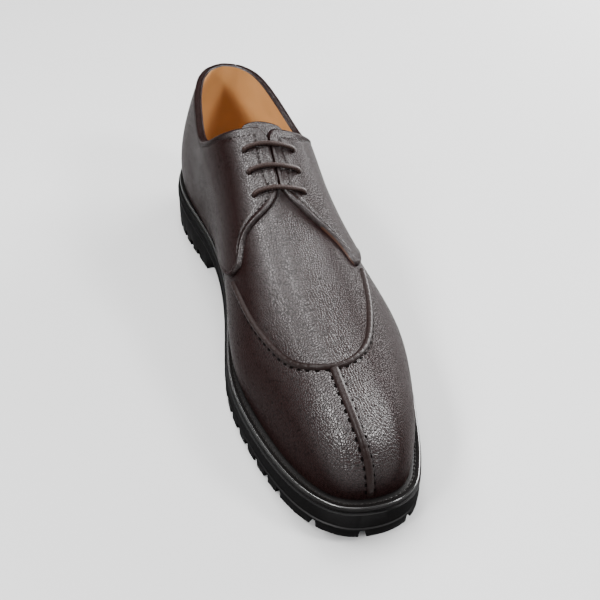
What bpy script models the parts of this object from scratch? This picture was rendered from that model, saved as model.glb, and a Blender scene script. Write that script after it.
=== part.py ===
"""Split-toe derby shoe for the left foot, on a lugged rubber sole.

The shape of the last comes from one table of cross sections.  The upper, the
overlays on it and the tongue are shells of that surface, and the welt, sole,
heel and insole follow its feather line, the edge where upper and sole meet.

World frame: +Z up, the toe towards -Y, +X on the outer (lateral) side.  The
origin lies on the floor under the middle of the sole's outline.
Lengths below are millimetres; meshes are made in metres.
"""
import bmesh
import bpy
import numpy as np

MM = 0.001
MEDIAL = -1
LATERAL = 1

# Thicknesses and gaps
GAP = 0.3
OVERLAY_GAP = 0.72
TONGUE_GAP = 0.8
UPPER_WALL = 1.8
OVERLAY_WALL = 1.5
TONGUE_WALL = 2.0
WELT_THICKNESS = 3.7
INSOLE_THICKNESS = 3.0

# How far each outline lies outside the feather line; negative is inside it
WELT_OUTSIDE = 5.0
WELT_INSIDE = -7.0
SOLE_OUTSIDE = 6.0
LUG_OUTSIDE = 6.6
HEEL_OUTSIDE = 6.4
HEEL_FOOT_OUTSIDE = 6.2
INSOLE_OUTSIDE = -2.6
TREAD_POCKET_OUTSIDE = -13.0
EDGE_SPACING = 9.3

# Points across each shell, and sides of round pieces
UPPER_POINTS = 10
FOREPART_ROWS = 17
QUARTER_POINTS = 11
STRAP_POINTS = 9
STRAP_ROWS = 5
TONGUE_POINTS = 13
LACE_SIDES = 8
EYELET_SIDES = 10

# Cross sections of the last, from the heel back to the toe tip.
# station: distance forward of the heel back.  medial, lateral: half widths at
# the feather line, whose height is feather_z.  ridge_x, ridge_z: the top line.
# wall: height of the side, as a share of the section's own height.
# bulge_in, bulge_out, crown_in, crown_out: widths of each side and top, as shares.
# tilt: slope of the top across the ridge, falling to the outer side.
LAST_COLUMNS = ("station", "medial", "lateral", "feather_z", "ridge_x", "ridge_z",
                "wall", "bulge_in", "bulge_out", "crown_in", "crown_out", "tilt")
LAST = (
    (0, 0.0, 0.0, 31.0, 1.5, 142.0, 0.27, 1.12, 1.12, 0.12, 0.12, 0.0),
    (4, 15.0, 15.0, 31.0, 1.5, 142.0, 0.27, 1.15, 1.10, 0.10, 0.14, 0.0),
    (14, 25.5, 25.5, 31.0, 1.5, 141.0, 0.27, 1.19, 1.10, 0.06, 0.14, 0.0),
    (32, 32.0, 32.0, 31.0, 1.2, 139.0, 0.27, 1.22, 1.09, 0.14, 0.18, 0.02),
    (60, 32.5, 34.0, 30.0, 0.0, 133.5, 0.30, 1.15, 1.06, 0.58, 0.42, 0.05),
    (90, 28.8, 35.0, 27.0, -2.0, 121.0, 0.34, 1.18, 1.03, 1.22, 0.78, 0.13),
    (120, 28.5, 38.0, 22.5, -3.6, 103.8, 0.36, 1.26, 0.96, 1.24, 0.80, 0.23),
    (150, 32.9, 42.6, 18.5, -5.0, 89.0, 0.38, 1.27, 0.94, 1.00, 0.77, 0.22),
    (180, 39.4, 46.2, 16.8, -6.1, 76.5, 0.42, 1.22, 1.03, 0.74, 0.68, 0.14),
    (205, 42.2, 46.2, 16.5, -7.0, 69.2, 0.44, 1.20, 1.09, 0.63, 0.63, 0.07),
    (228, 40.4, 41.2, 17.2, -8.2, 65.2, 0.50, 1.09, 1.12, 0.58, 0.58, 0.02),
    (250, 37.0, 33.8, 18.8, -9.4, 62.3, 0.54, 1.03, 1.13, 0.60, 0.60, 0.0),
    (270, 32.0, 25.8, 21.2, -9.8, 59.5, 0.58, 1.02, 1.12, 0.62, 0.62, 0.0),
    (284, 26.0, 18.6, 23.5, -9.0, 54.0, 0.60, 1.02, 1.08, 0.62, 0.62, 0.0),
    (293, 18.5, 11.8, 25.3, -7.7, 44.0, 0.60, 1.02, 1.04, 0.62, 0.62, 0.0),
    (297, 6.8, -6.8, 26.0, -6.8, 26.0, 0.60, 1.02, 1.02, 0.62, 0.62, 0.0),
)
TOE_TIP = LAST[-1][0]
# How far the sole's edge draws in along the waist: station, medial, lateral
EDGE_TUCK = (
    (0, 0.0, 0.0), (40, 0.2, 0.2), (80, 1.6, 1.0), (115, 3.0, 1.8), (150, 3.2, 1.8), (180, 2.4, 1.8),
    (205, 1.0, 1.8), (230, 0.0, 1.6), (255, 0.0, 1.3), (280, 0.0, 0.5), (297, 0.0, 0.0),
)
# Curve of the heel back: height above the seat, shift forward
HEEL_CURVE = ((0, 0.0), (15, -2.5), (30, -3.5), (50, -1.5), (70, 3.0), (111, 14.0))
HEEL_CURVE_REACH = 70.0

# Edges on the upper: station against height (topline) or against the distance
# along the surface from the ridge (the others)
TOPLINE = ((0, 93.5), (20, 91.6), (40, 88.2), (60, 84.4), (76, 82.6), (86, 85.5),
           (96, 91.5), (104, 98.4), (111, 105.6), (117, 112.6))
THROAT_STATION = 146.5
THROAT_HALF_GAP = 0.6
FACING_CORNER_STATION = 120.0
FACING_CORNER_RADIUS = 7.0
FACING_CORNER_REACH = 10.0
QUARTER_FRONT = {
    MEDIAL: ((146, 0.7), (151.0, 2.8), (155.4, 6.6), (158.4, 11.6), (160.0, 17.4), (161.2, 22.0),
             (163.4, 25.6), (167.0, 28.6), (171.5, 32.0)),
    LATERAL: ((146, 0.7), (151.2, 4.0), (157.4, 10.0), (164.4, 18.0), (169.6, 25.0), (173.4, 29.0),
              (177.0, 31.5), (180.0, 33.2), (182.5, 35.5)),
}
QUARTER_FOOT = {
    MEDIAL: ((96, 102.0), (120, 84.0), (140, 68.0), (155, 55.5), (164, 48.0), (169.5, 41.0), (171.5, 33.6)),
    LATERAL: ((96, 102.0), (120, 84.0), (140, 70.0), (160, 55.5), (174, 45.0), (180, 40.5), (182.5, 37.0)),
}
QUARTER_BOTTOM_CLEARANCE = 1.4
FACING_DENSITY = 1.3
APRON = ((249.5, 0.0), (248.4, 5.0), (245.6, 10.6), (240.2, 17.0), (232, 22.8), (222, 27.4),
         (205, 33.6), (185, 39.6), (170.5, 44.8))
APRON_END = {MEDIAL: 174.5, LATERAL: 185.5}
APRON_SHIFT = 1.2
TONGUE_HALF_WIDTH = ((107.4, 10.0), (108.4, 13.5), (111, 17.5), (116, 21.5), (146, 23.0), (168, 20.0))
COLLAR_STATIONS = (0, 1.5, 4, 8, 14, 22, 32, 44, 57, 68, 76, 83, 90, 97)
FACING_STATIONS = (103, 108, 112, 115, 117, 118.5, 121, 129, 138)
TOE_STATIONS = (284, 288.5, 292, 294.5, 296.2, TOE_TIP)
TONGUE_STATIONS = (107.4, 107.9, 109, 111, 116, 121, 129, 138, 147, 158, 168)
STRAP_EDGE_ROW = 0.80
STRAP_TO_QUARTER_ROW = 0.05

APRON_SEAM_RADIUS = 1.4
SPLIT_SEAM_RADIUS = 1.5
SPLIT_SEAM_END_Z = 28.5
SEAM_SIDES = 6
APRON_SEAM_POINTS = 24
SPLIT_SEAM_POINTS = 13

# Lacing: three straight bars between blind eyelets
LACE_STATIONS = (122.8, 134.8, 147.2)
EYELET_FROM_RIDGE = 13.2
EYELET_RADIUS = 2.2
EYELET_DEPTH = 4.0
LACE_RADIUS = 1.25
LACE_CLEARANCE = 0.5
# Ends of a bar: distance outside the eyelet's middle, share of the bar's lift
LACE_END = ((0.2, 0.21), (0.1, 0.54), (-0.6, 0.87), (-1.7, 0.97), (-3.2, 1.0))
LACE_MIDDLE = (0.6, 0.3, 0.0)

# Underside of the sole: station, height of the bottom, height of the side step
TREAD_COLUMNS = ("station", "bottom_z", "step_z")
TREAD = (
    (0, 20.2, 23.2), (32, 20.2, 23.2), (60, 19.2, 22.2), (90, 16.2, 19.2), (120, 11.5, 14.6),
    (150, 7.5, 10.6), (151.5, 2.0, 8.2), (170, 0.5, 6.5), (185, 0.0, 6.0), (235, 0.0, 6.0),
    (250, 0.5, 6.5), (265, 1.6, 7.6), (280, 3.6, 9.6), (290, 5.4, 11.4), (297, 7.0, 13.0),
)
HEEL_BREAST_STATION = 90.0
SIDE_STEP = 0.5
NOTCH_WIDTH_TOP = 3.0
NOTCH_WIDTH_BOTTOM = 4.8
NOTCH_HEIGHT = 5.0
NOTCH_INSIDE = -6.5
NOTCH_OUTSIDE = 9.0
TOE_BLOCK_LENGTH = 24.2
TOE_NOTCH_ASIDE = 3.3
LUG_PITCH = 11.2
FOREPART_LUGS_FROM = 158.0
HEEL_LUG_PITCH = 11.0
HEEL_LUGS_TO = 84.0
NOTCH_BELOW_FLOOR = -3.0
TREAD_DEPTH = 4.0
POCKET_STATIONS = (166, 268)
POCKET_SPACING = 12.0
POCKET_BENDS = (185, 235, 250)
HEEL_BENDS = (32, 60)
CENTRE_LUG_STATIONS = (176, 193, 210, 227, 244)
CENTRE_LUG_LENGTH = 9.0
CENTRE_LUG_WIDTH = 30.0
CENTRE_LUG_INTO_SOLE = 1.5

# Finishes: linear colour, roughness
FINISHES = {
    "brown_leather": ((0.030, 0.016, 0.013), 0.42),
    "black_rubber": ((0.008, 0.008, 0.009), 0.62),
    "black_welt": ((0.010, 0.009, 0.009), 0.45),
    "tan_leather": ((0.42, 0.20, 0.07), 0.55),
    "brown_cord": ((0.022, 0.013, 0.011), 0.60),
}


def curve_through(parameter, points, closed=False):
    """Cubic spline with continuous curvature; natural ends unless it is closed."""
    t = np.asarray(parameter, float)
    p = np.asarray(points, float)
    p = p.reshape(len(t), -1)
    count = len(t)
    step = np.diff(t)
    slope = np.diff(p, axis=0) / step[:, None]
    matrix = np.zeros((count, count))
    target = np.zeros_like(p)
    for i in range(1, count - 1):
        matrix[i, i - 1:i + 2] = step[i - 1], 2 * (step[i - 1] + step[i]), step[i]
        target[i] = 6 * (slope[i] - slope[i - 1])
    matrix[0, 0] = matrix[-1, -1] = 1.0
    if closed:
        matrix[0, [0, 1, -2]] = 2 * (step[-1] + step[0]), step[0], step[-1]
        target[0] = 6 * (slope[0] - slope[-1])
        matrix[-1, 0] = -1.0
    bend = np.linalg.solve(matrix, target)

    def curve(where):
        q = np.asarray(where, float)
        i = np.clip(np.searchsorted(t, q, side="right") - 1, 0, count - 2)
        h = step[i][..., None]
        a = (t[i + 1] - q)[..., None]
        b = (q - t[i])[..., None]
        value = (bend[i] * a ** 3 + bend[i + 1] * b ** 3) / (6 * h)
        value += (p[i] / h - bend[i] * h / 6) * a
        value += (p[i + 1] / h - bend[i + 1] * h / 6) * b
        return value

    return curve


def chord_lengths(points):
    """Running length along a row of points."""
    return np.r_[0.0, np.cumsum(np.linalg.norm(np.diff(points, axis=0), axis=1))]


def unit(vectors):
    """Vectors scaled to length one."""
    return vectors / np.maximum(np.linalg.norm(vectors, axis=-1, keepdims=True), 1e-12)


class Last:
    """The surface of the last, sampled once and read by interpolation.

    row: position along the LAST table, 0 at the heel back.
    share: 0 on the ridge, 1 on the feather line, by length along the section.
    """

    ROWS = 601
    SHARES = 161

    def __init__(self):
        table = np.array(LAST, float)
        column = dict(zip(LAST_COLUMNS, table.T))
        self.last_row = len(table) - 1
        self.row = np.linspace(0, self.last_row, self.ROWS)
        self.feather = self.feather_lines(column)
        self.ridge = self.ridge_line(column)
        self.station = self.ridge[:, 1]
        shape = curve_through(range(len(table)), table[:, 6:])(self.row)
        self.tilt = shape[:, -1]
        self.surface = {}
        self.girth = {}
        for side in (MEDIAL, LATERAL):
            self.surface[side], self.girth[side] = self.sections(side, shape)
        self.normal = self.surface_normals()
        self.outward = self.outline_normals()
        self.tuck = {side: smooth_table([(row[0], row[place]) for row in EDGE_TUCK], self.station)
                     for side, place in ((MEDIAL, 1), (LATERAL, 2))}

    def feather_lines(self, column):
        """Both halves of the closed feather line, in the table's axes."""
        medial = np.c_[-column["medial"], column["station"], column["feather_z"]]
        lateral = np.c_[column["lateral"], column["station"], column["feather_z"]]
        loop = np.vstack([medial, lateral[-2::-1]])
        length = chord_lengths(loop)
        curve = curve_through(length, loop, closed=True)
        at_medial = np.interp(self.row, range(len(medial)), length[:len(medial)])
        at_lateral = np.interp(self.row, range(len(medial)), length[::-1][:len(medial)])
        return {MEDIAL: curve(at_medial), LATERAL: curve(at_lateral)}

    def ridge_line(self, column):
        """The top line.  It is mirrored below the toe tip, so it ends upright there."""
        profile = np.c_[column["station"], column["ridge_z"]]
        below = np.c_[profile[-3:-1, 0], 2 * profile[-1, 1] - profile[-3:-1, 1]][::-1]
        both = np.vstack([profile, below])
        length = chord_lengths(both)
        at = np.interp(self.row, range(len(profile)), length[:len(profile)])
        across = curve_through(range(len(profile)), column["ridge_x"])(self.row)
        return np.c_[across, curve_through(length, both)(at)]

    def sections(self, side, shape):
        """Each section as a Bezier curve from ridge to feather, spaced by length."""
        wall, bulge_in, bulge_out, crown_in, crown_out, tilt = shape.T
        bulge, crown = (bulge_in, crown_in) if side == MEDIAL else (bulge_out, crown_out)
        foot, top = self.feather[side], self.ridge
        width = foot[:, 0] - top[:, 0]
        height = top[:, 2] - foot[:, 2]
        belly = np.c_[top[:, 0] + width * bulge, foot[:, 1], foot[:, 2] + wall * height]
        shoulder = np.c_[top[:, 0] + width * crown, top[:, 1], top[:, 2] - width * crown * tilt]
        s = np.linspace(0, 1, self.SHARES)[None, :, None]
        points = (1 - s) ** 3 * top[:, None] + 3 * (1 - s) ** 2 * s * shoulder[:, None]
        points = points + 3 * (1 - s) * s ** 2 * belly[:, None] + s ** 3 * foot[:, None]
        heel_curve = curve_through(*zip(*HEEL_CURVE))
        fade = np.clip(1 - points[..., 1] / HEEL_CURVE_REACH, 0, 1)
        fade = fade * fade * (3 - 2 * fade)
        above_seat = np.clip(points[..., 2] - LAST[0][3], 0, HEEL_CURVE[-1][0])
        points[..., 1] += heel_curve(above_seat)[..., 0] * fade
        points[..., 1] *= -1.0
        even = np.empty_like(points)
        girth = np.empty(self.ROWS)
        for i, section in enumerate(points):
            length = chord_lengths(section)
            girth[i] = length[-1]
            at = np.linspace(0, length[-1], self.SHARES)
            even[i] = np.c_[tuple(np.interp(at, length, section[:, axis]) for axis in range(3))]
        return even, girth

    def surface_normals(self):
        """Outward normals, equal on both sides along the ridge, heel back and toe tip."""
        normal = {}
        for side in (MEDIAL, LATERAL):
            grid = self.surface[side]
            along = np.gradient(grid, axis=0)
            down = np.gradient(grid, axis=1)
            normal[side] = unit(np.cross(along, down) * side)
            normal[side][-1] = (0.0, -1.0, 0.0)
        heel_back = unit(normal[MEDIAL][0] + normal[LATERAL][0])
        ridge = unit(normal[MEDIAL][:, 0] + normal[LATERAL][:, 0])
        for side in (MEDIAL, LATERAL):
            normal[side][0] = heel_back
            normal[side][:, 0] = ridge
        return normal

    def outline_normals(self):
        """Outward directions of the feather line in plan."""
        outward = {}
        for side in (MEDIAL, LATERAL):
            line = self.surface[side][:, -1, :2]
            along = np.gradient(line, axis=0)
            outward[side] = unit(np.c_[-along[:, 1], along[:, 0]] * side)
        for end in (0, -1):
            middle = unit(outward[MEDIAL][end] + outward[LATERAL][end])
            outward[MEDIAL][end] = outward[LATERAL][end] = middle
        return outward

    def row_at(self, station):
        """Row of a station."""
        return np.interp(station, self.station, self.row)

    def station_at(self, row):
        """Station of a row."""
        return np.interp(row, self.row, self.station)

    def girth_at(self, row, side):
        """Length of a section from ridge to feather."""
        return np.interp(row, self.row, self.girth[side])

    def feather_z(self, station):
        """Height of the feather line, carried on past the toe tip."""
        line = self.feather[MEDIAL]
        rise = (LAST[-1][3] - LAST[-2][3]) / (LAST[-1][0] - LAST[-2][0])
        past = np.clip(station - LAST[-1][0], 0, None) * rise
        return np.interp(station, line[:, 1], line[:, 2]) + past

    def read(self, grid, row, share):
        """Bilinear reading of a sampled grid."""
        row, share = np.broadcast_arrays(np.asarray(row, float), np.asarray(share, float))
        i = row / self.last_row * (self.ROWS - 1)
        j = share * (self.SHARES - 1)
        i0 = np.clip(i.astype(int), 0, self.ROWS - 2)
        j0 = np.clip(j.astype(int), 0, self.SHARES - 2)
        u = (i - i0)[..., None]
        v = (j - j0)[..., None]
        near = grid[i0, j0] * (1 - v) + grid[i0, j0 + 1] * v
        far = grid[i0 + 1, j0] * (1 - v) + grid[i0 + 1, j0 + 1] * v
        return near * (1 - u) + far * u

    def normal_at(self, row, share, side):
        """Outward normals of the surface."""
        return unit(self.read(self.normal[side], row, share))

    def spot(self, row, share, side, lift=0.0):
        """Points on the surface, lifted off it along its normals."""
        lift = np.asarray(lift, float)[..., None]
        return self.read(self.surface[side], row, share) + lift * self.normal_at(row, share, side)

    def across(self, row, from_ridge, lift=0.0):
        """Points at a signed distance from the ridge, negative on the medial side."""
        row, from_ridge = np.broadcast_arrays(np.asarray(row, float), np.asarray(from_ridge, float))
        points = np.empty(row.shape + (3,))
        for side in (MEDIAL, LATERAL):
            here = (from_ridge < 0) == (side == MEDIAL)
            share = np.abs(from_ridge[here]) / self.girth_at(row[here], side)
            points[here] = self.spot(row[here], share, side, lift)
        return points

    def outline(self, row, side, outside):
        """Plan points of the feather line moved outward, less so along the waist."""
        i = np.asarray(row, float) / self.last_row * (self.ROWS - 1)
        at = np.arange(self.ROWS)
        reach = outside - self.tuck[side] if outside >= 0 else np.full(self.ROWS, outside)
        line = self.surface[side][:, -1, :2] + reach[:, None] * self.outward[side]
        return np.stack([np.interp(i, at, line[:, 0]), np.interp(i, at, line[:, 1])], axis=-1)

    def topline_share(self, row, side):
        """Share at which a section is cut by the collar or by the throat's gap."""
        share = np.empty(len(row))
        fine = np.linspace(1, 0, 801)
        for n, at in enumerate(row):
            section = self.spot(np.full(fine.shape, at), fine, side)
            aside = section[:, 0] - section[-1, 0]
            level = section[:, 2] + aside * np.interp(at, self.row, self.tilt)
            above = np.nonzero(level > smooth_table(TOPLINE, -section[:, 1]))[0]
            share[n] = fine[above[0]] if len(above) else 0.0
        station = self.station_at(row)
        share = np.where(station > TOPLINE[-1][0], 0.0, share)
        before_corner = np.clip(FACING_CORNER_STATION - station, 0, FACING_CORNER_REACH)
        flare = before_corner ** 2 / (2 * FACING_CORNER_RADIUS)
        half_gap = np.where(station < THROAT_STATION - 0.01, THROAT_HALF_GAP + flare, 0.0)
        return np.maximum(share, half_gap / self.girth_at(row, side))


def smooth_table(table, station):
    """Second column of a two-column table, read through a spline."""
    table = np.array(table, float)
    inside = np.clip(station, table[0, 0], table[-1, 0])
    return curve_through(table[:, 0], table[:, 1])(inside)[..., 0]


class Solid:
    """Collects grids of points and the faces between them."""

    def __init__(self):
        self.points = []
        self.faces = []
        self.count = 0

    def add(self, grid):
        """Keep a block of points and return their numbers."""
        grid = np.asarray(grid, float)
        flat = grid.reshape(-1, 3)
        numbers = np.arange(self.count, self.count + len(flat)).reshape(grid.shape[:-1])
        self.points.append(flat)
        self.count += len(flat)
        return numbers

    def skin(self, numbers):
        """Quads between neighbouring points of a grid of numbers."""
        corners = (numbers[:-1, :-1], numbers[1:, :-1], numbers[1:, 1:], numbers[:-1, 1:])
        self.faces += np.stack(corners, axis=-1).reshape(-1, 4).tolist()

    def ring(self, numbers):
        """Quads between loops: each row of numbers is one closed loop."""
        self.skin(np.concatenate([numbers, numbers[:, :1]], axis=1))

    def face(self, numbers):
        """One flat face."""
        self.faces.append([int(n) for n in numbers])


class Shoe:
    """Places finished solids in the scene around one origin."""

    def __init__(self, centre):
        self.centre = np.array([centre[0], centre[1], 0.0])

    def make(self, name, solid, finish=None, sharp_degrees=35.0):
        """A mesh object from a solid; one without a finish is a cutter."""
        points = (np.vstack(solid.points) - self.centre) * MM
        mesh = bpy.data.meshes.new(name)
        mesh.from_pydata(points.tolist(), [], solid.faces)
        edit = bmesh.new()
        edit.from_mesh(mesh)
        bmesh.ops.remove_doubles(edit, verts=edit.verts, dist=1e-6)
        bmesh.ops.dissolve_degenerate(edit, edges=edit.edges, dist=1e-7)
        bmesh.ops.recalc_face_normals(edit, faces=edit.faces)
        if edit.calc_volume(signed=True) < 0:
            bmesh.ops.reverse_faces(edit, faces=edit.faces)
        edit.to_mesh(mesh)
        edit.free()
        mesh.shade_smooth()
        mesh.set_sharp_from_angle(angle=np.radians(sharp_degrees))
        thing = bpy.data.objects.new(name, mesh)
        bpy.context.scene.collection.objects.link(thing)
        if finish is None:
            thing.hide_render = True
            thing.display_type = "WIRE"
        else:
            mesh.materials.append(material(finish))
        return thing


def material(name):
    """The material of a finish, made once."""
    found = bpy.data.materials.get(name)
    if found:
        return found
    colour, roughness = FINISHES[name]
    made = bpy.data.materials.new(name)
    made.use_nodes = True
    shader = made.node_tree.nodes["Principled BSDF"]
    shader.inputs["Base Color"].default_value = (*colour, 1.0)
    shader.inputs["Roughness"].default_value = roughness
    shader.inputs["Metallic"].default_value = 0.0
    made.diffuse_color = (*colour, 1.0)
    return made


def combine(thing, cutter, operation):
    """Boolean modifier with another object."""
    step = thing.modifiers.new(cutter.name, "BOOLEAN")
    step.operation = operation
    step.solver = "EXACT"
    step.object = cutter


def sheet(outer, inner):
    """Closed solid between two grids of points."""
    solid = Solid()
    both = [solid.add(outer), solid.add(inner)]
    for numbers in both:
        solid.skin(numbers)
    for edge in (np.s_[0, :], np.s_[-1, :], np.s_[:, 0], np.s_[:, -1]):
        solid.skin(np.stack([both[0][edge], both[1][edge]]))
    return solid


def tube(path, radius, sides):
    """Round tube with flat ends along a row of points."""
    path = np.asarray(path, float)
    heading = unit(np.gradient(path, axis=0))
    aside = unit(np.cross(heading, np.roll(heading, 1, axis=1)))
    for i in range(1, len(path)):
        aside[i] = unit(aside[i - 1] - heading[i] * np.dot(aside[i - 1], heading[i]))
    third = np.cross(heading, aside)
    angle = np.linspace(0, 2 * np.pi, sides, endpoint=False)[None, :, None]
    solid = Solid()
    loops = path[:, None] + radius * (np.cos(angle) * aside[:, None] + np.sin(angle) * third[:, None])
    numbers = solid.add(loops)
    solid.ring(numbers)
    solid.face(numbers[0])
    solid.face(numbers[-1])
    return solid


def edge_line(last, rows, side, outside, height):
    """An outline at the heights that a function gives for its stations."""
    plan = last.outline(rows, side, outside)
    return np.c_[plan, height(-plan[:, 1])]


def stack(last, rows, levels):
    """Solid between outlines.  levels: (distance outside, height function), upward."""
    solid = Solid()
    sides = {}
    for side in (MEDIAL, LATERAL):
        layers = [edge_line(last, rows, side, outside, height) for outside, height in levels]
        sides[side] = solid.add(np.stack(layers, axis=1))
        solid.skin(sides[side])
    for level in (0, -1):
        solid.skin(np.stack([sides[MEDIAL][:, level], sides[LATERAL][:, level]], axis=1))
    for end in (0, -1):
        solid.skin(np.stack([sides[MEDIAL][end], sides[LATERAL][end]], axis=1))
    return solid


def even_rows(last, start, end, spacing, extra=()):
    """Rows spaced by length along the longer side of the outline, with extra stations between."""
    steps = [np.linalg.norm(np.diff(last.surface[side][:, -1, :2], axis=0), axis=1)
             for side in (MEDIAL, LATERAL)]
    length = np.r_[0.0, np.cumsum(np.maximum(*steps))]
    first, final = np.interp(last.row_at([start, end]), last.row, length)
    count = max(2, int(round((final - first) / spacing)) + 1)
    rows = np.interp(np.linspace(first, final, count), length, last.row)
    return np.unique(np.r_[rows, last.row_at(np.array(extra, float))])


def tread(name, station):
    """One column of the TREAD table, read in straight lines."""
    table = np.array(TREAD, float)
    return np.interp(station, table[:, 0], table[:, TREAD_COLUMNS.index(name)])


def sole_origin(last):
    """Plan centre of the sole's outline."""
    lines = [last.outline(last.row, side, LUG_OUTSIDE) for side in (MEDIAL, LATERAL)]
    points = np.vstack(lines)
    return (points.min(axis=0) + points.max(axis=0)) / 2


def build_upper(last, shoe):
    """Hollow shell, open below, at the collar and along the throat."""
    forepart = np.linspace(THROAT_STATION, TOE_STATIONS[0], FOREPART_ROWS)[1:-1]
    rows = last.row_at(np.r_[COLLAR_STATIONS, FACING_STATIONS, THROAT_STATION, forepart, TOE_STATIONS])
    joined = int(np.searchsorted(last.station_at(rows), THROAT_STATION - 0.01)) + 1
    steps = np.linspace(0, 1, UPPER_POINTS)
    solid = Solid()
    for side in (MEDIAL, LATERAL):
        top = last.topline_share(rows, side)[:, None]
        share = top + (1 - top) * steps
        outer = last.spot(rows[:, None], share, side)
        inner = last.spot(rows[:, None], share, side, -UPPER_WALL)
        inner[:, -1, 2] = outer[:, -1, 2]
        faces = [solid.add(outer), solid.add(inner)]
        for numbers in faces:
            solid.skin(numbers)
        solid.skin(np.stack([faces[0][:, -1], faces[1][:, -1]]))
        solid.skin(np.stack([faces[0][:joined, 0], faces[1][:joined, 0]]))
    return shoe.make("upper", solid, "brown_leather")


def seam_solids(last):
    """Raised seams: around the apron, and down the split of the toe."""
    table = np.array(APRON, float)
    half = curve_through(chord_lengths(table), table)
    at = half(np.linspace(0, chord_lengths(table)[-1], APRON_SEAM_POINTS))
    medial = at[at[:, 0] > APRON_END[MEDIAL]] * [1, -1]
    route = np.vstack([medial[:0:-1], at[at[:, 0] > APRON_END[LATERAL]]])
    apron = last.across(last.row_at(route[:, 0]), route[:, 1] + APRON_SHIFT)
    rows = np.linspace(last.row_at(APRON[0][0]), last.last_row, 60)
    ridge = last.spot(rows, 0.0, LATERAL)
    ridge = ridge[ridge[:, 2] > SPLIT_SEAM_END_Z]
    length = chord_lengths(ridge)
    even = np.linspace(0, length[-1], SPLIT_SEAM_POINTS)
    split = np.c_[tuple(np.interp(even, length, ridge[:, axis]) for axis in range(3))]
    return tube(apron, APRON_SEAM_RADIUS, SEAM_SIDES), tube(split, SPLIT_SEAM_RADIUS, SEAM_SIDES)


def build_quarter(last, shoe, side):
    """Overlay with the facing, from the back strap to the tab beside the apron."""
    start = STRAP_EDGE_ROW + STRAP_TO_QUARTER_ROW
    front, foot = (np.array(table[side], float).T for table in (QUARTER_FRONT, QUARTER_FOOT))
    back = last.row_at(np.r_[COLLAR_STATIONS, FACING_STATIONS])
    rows = np.r_[start, back[back > start + 0.1], last.row_at(front[0])]
    station = last.station_at(rows)
    girth = last.girth_at(rows, side)
    edge = np.where(station < front[0, 0], 0.0, np.interp(station, *front) / girth)
    top = np.maximum(last.topline_share(rows, side), edge)
    lower = np.where(station < foot[0, 0], girth, np.interp(station, *foot))
    bottom = np.minimum(lower, girth - QUARTER_BOTTOM_CLEARANCE) / girth
    share = top[:, None] + (bottom - top)[:, None] * np.linspace(0, 1, QUARTER_POINTS) ** FACING_DENSITY
    outer = last.spot(rows[:, None], share, side, OVERLAY_GAP + OVERLAY_WALL)
    inner = last.spot(rows[:, None], share, side, OVERLAY_GAP)
    name = "quarter_medial" if side == MEDIAL else "quarter_lateral"
    return shoe.make(name, sheet(outer, inner), "brown_leather")


def build_back_strap(last, shoe):
    """Overlay over the seam at the heel back."""
    rows = np.linspace(0, STRAP_EDGE_ROW, STRAP_ROWS)
    lifted = {}
    for lift in (OVERLAY_GAP + OVERLAY_WALL, OVERLAY_GAP):
        halves = []
        for side in (MEDIAL, LATERAL):
            top = last.topline_share(rows, side)
            bottom = 1 - QUARTER_BOTTOM_CLEARANCE / last.girth_at(rows, side)
            share = top[:, None] + (bottom - top)[:, None] * np.linspace(0, 1, STRAP_POINTS)
            halves.append(last.spot(rows[:, None], share, side, lift))
        lifted[lift] = np.concatenate([halves[0][:0:-1], halves[1]])
    return shoe.make("back_strap", sheet(*lifted.values()), "brown_leather")


def build_tongue(last, shoe):
    """Tongue under the facings, its top edge just above them."""
    rows = last.row_at(TONGUE_STATIONS)
    half = np.interp(last.station_at(rows), *np.array(TONGUE_HALF_WIDTH, float).T)
    from_ridge = half[:, None] * np.linspace(-1, 1, TONGUE_POINTS)
    under = UPPER_WALL + TONGUE_GAP
    outer = last.across(rows[:, None], from_ridge, -under)
    inner = last.across(rows[:, None], from_ridge, -under - TONGUE_WALL)
    return shoe.make("tongue", sheet(outer, inner), "brown_leather")


def eyelet_solid(last):
    """Round holes through the facings and the upper."""
    solid = Solid()
    angle = np.linspace(0, 2 * np.pi, EYELET_SIDES, endpoint=False)[:, None]
    for station in LACE_STATIONS:
        for side in (MEDIAL, LATERAL):
            row = last.row_at(station)
            share = EYELET_FROM_RIDGE / last.girth_at(row, side)
            axis = last.normal_at(row, share, side)
            centre = last.spot(row, share, side)
            along = unit(np.cross(axis, [1.0, 0.0, 0.0]))
            circle = np.cos(angle) * along + np.sin(angle) * np.cross(axis, along)
            depths = (-EYELET_DEPTH, EYELET_DEPTH)
            loops = [centre + depth * axis + EYELET_RADIUS * circle for depth in depths]
            numbers = solid.add(np.stack(loops))
            solid.ring(numbers)
            solid.face(numbers[0])
            solid.face(numbers[1])
    return solid


def build_lace_bars(last, shoe):
    """Straight bars of the lace, each with its ends turned down into two eyelets."""
    over = OVERLAY_GAP + OVERLAY_WALL + LACE_CLEARANCE + LACE_RADIUS
    for number, station in enumerate(LACE_STATIONS, start=1):
        end = [(EYELET_FROM_RIDGE + aside, share * over) for aside, share in LACE_END]
        middle = [(share * EYELET_FROM_RIDGE, over) for share in LACE_MIDDLE]
        half = end + middle
        route = half + [(-aside, lift) for aside, lift in half[-2::-1]]
        aside, lift = np.array(route).T
        row = last.row_at(station)
        path = np.array([last.across(row, a, h) for a, h in zip(aside, lift)])
        shoe.make(f"lace_bar_{number}", tube(path, LACE_RADIUS, LACE_SIDES), "brown_cord")


def build_insole(last, shoe):
    """Sole board inside the upper, on the welt."""
    rows = even_rows(last, 0, TOE_TIP, EDGE_SPACING)
    levels = ((INSOLE_OUTSIDE, last.feather_z),
              (INSOLE_OUTSIDE, lambda at: last.feather_z(at) + INSOLE_THICKNESS))
    shoe.make("insole", stack(last, rows, levels), "tan_leather")


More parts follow.
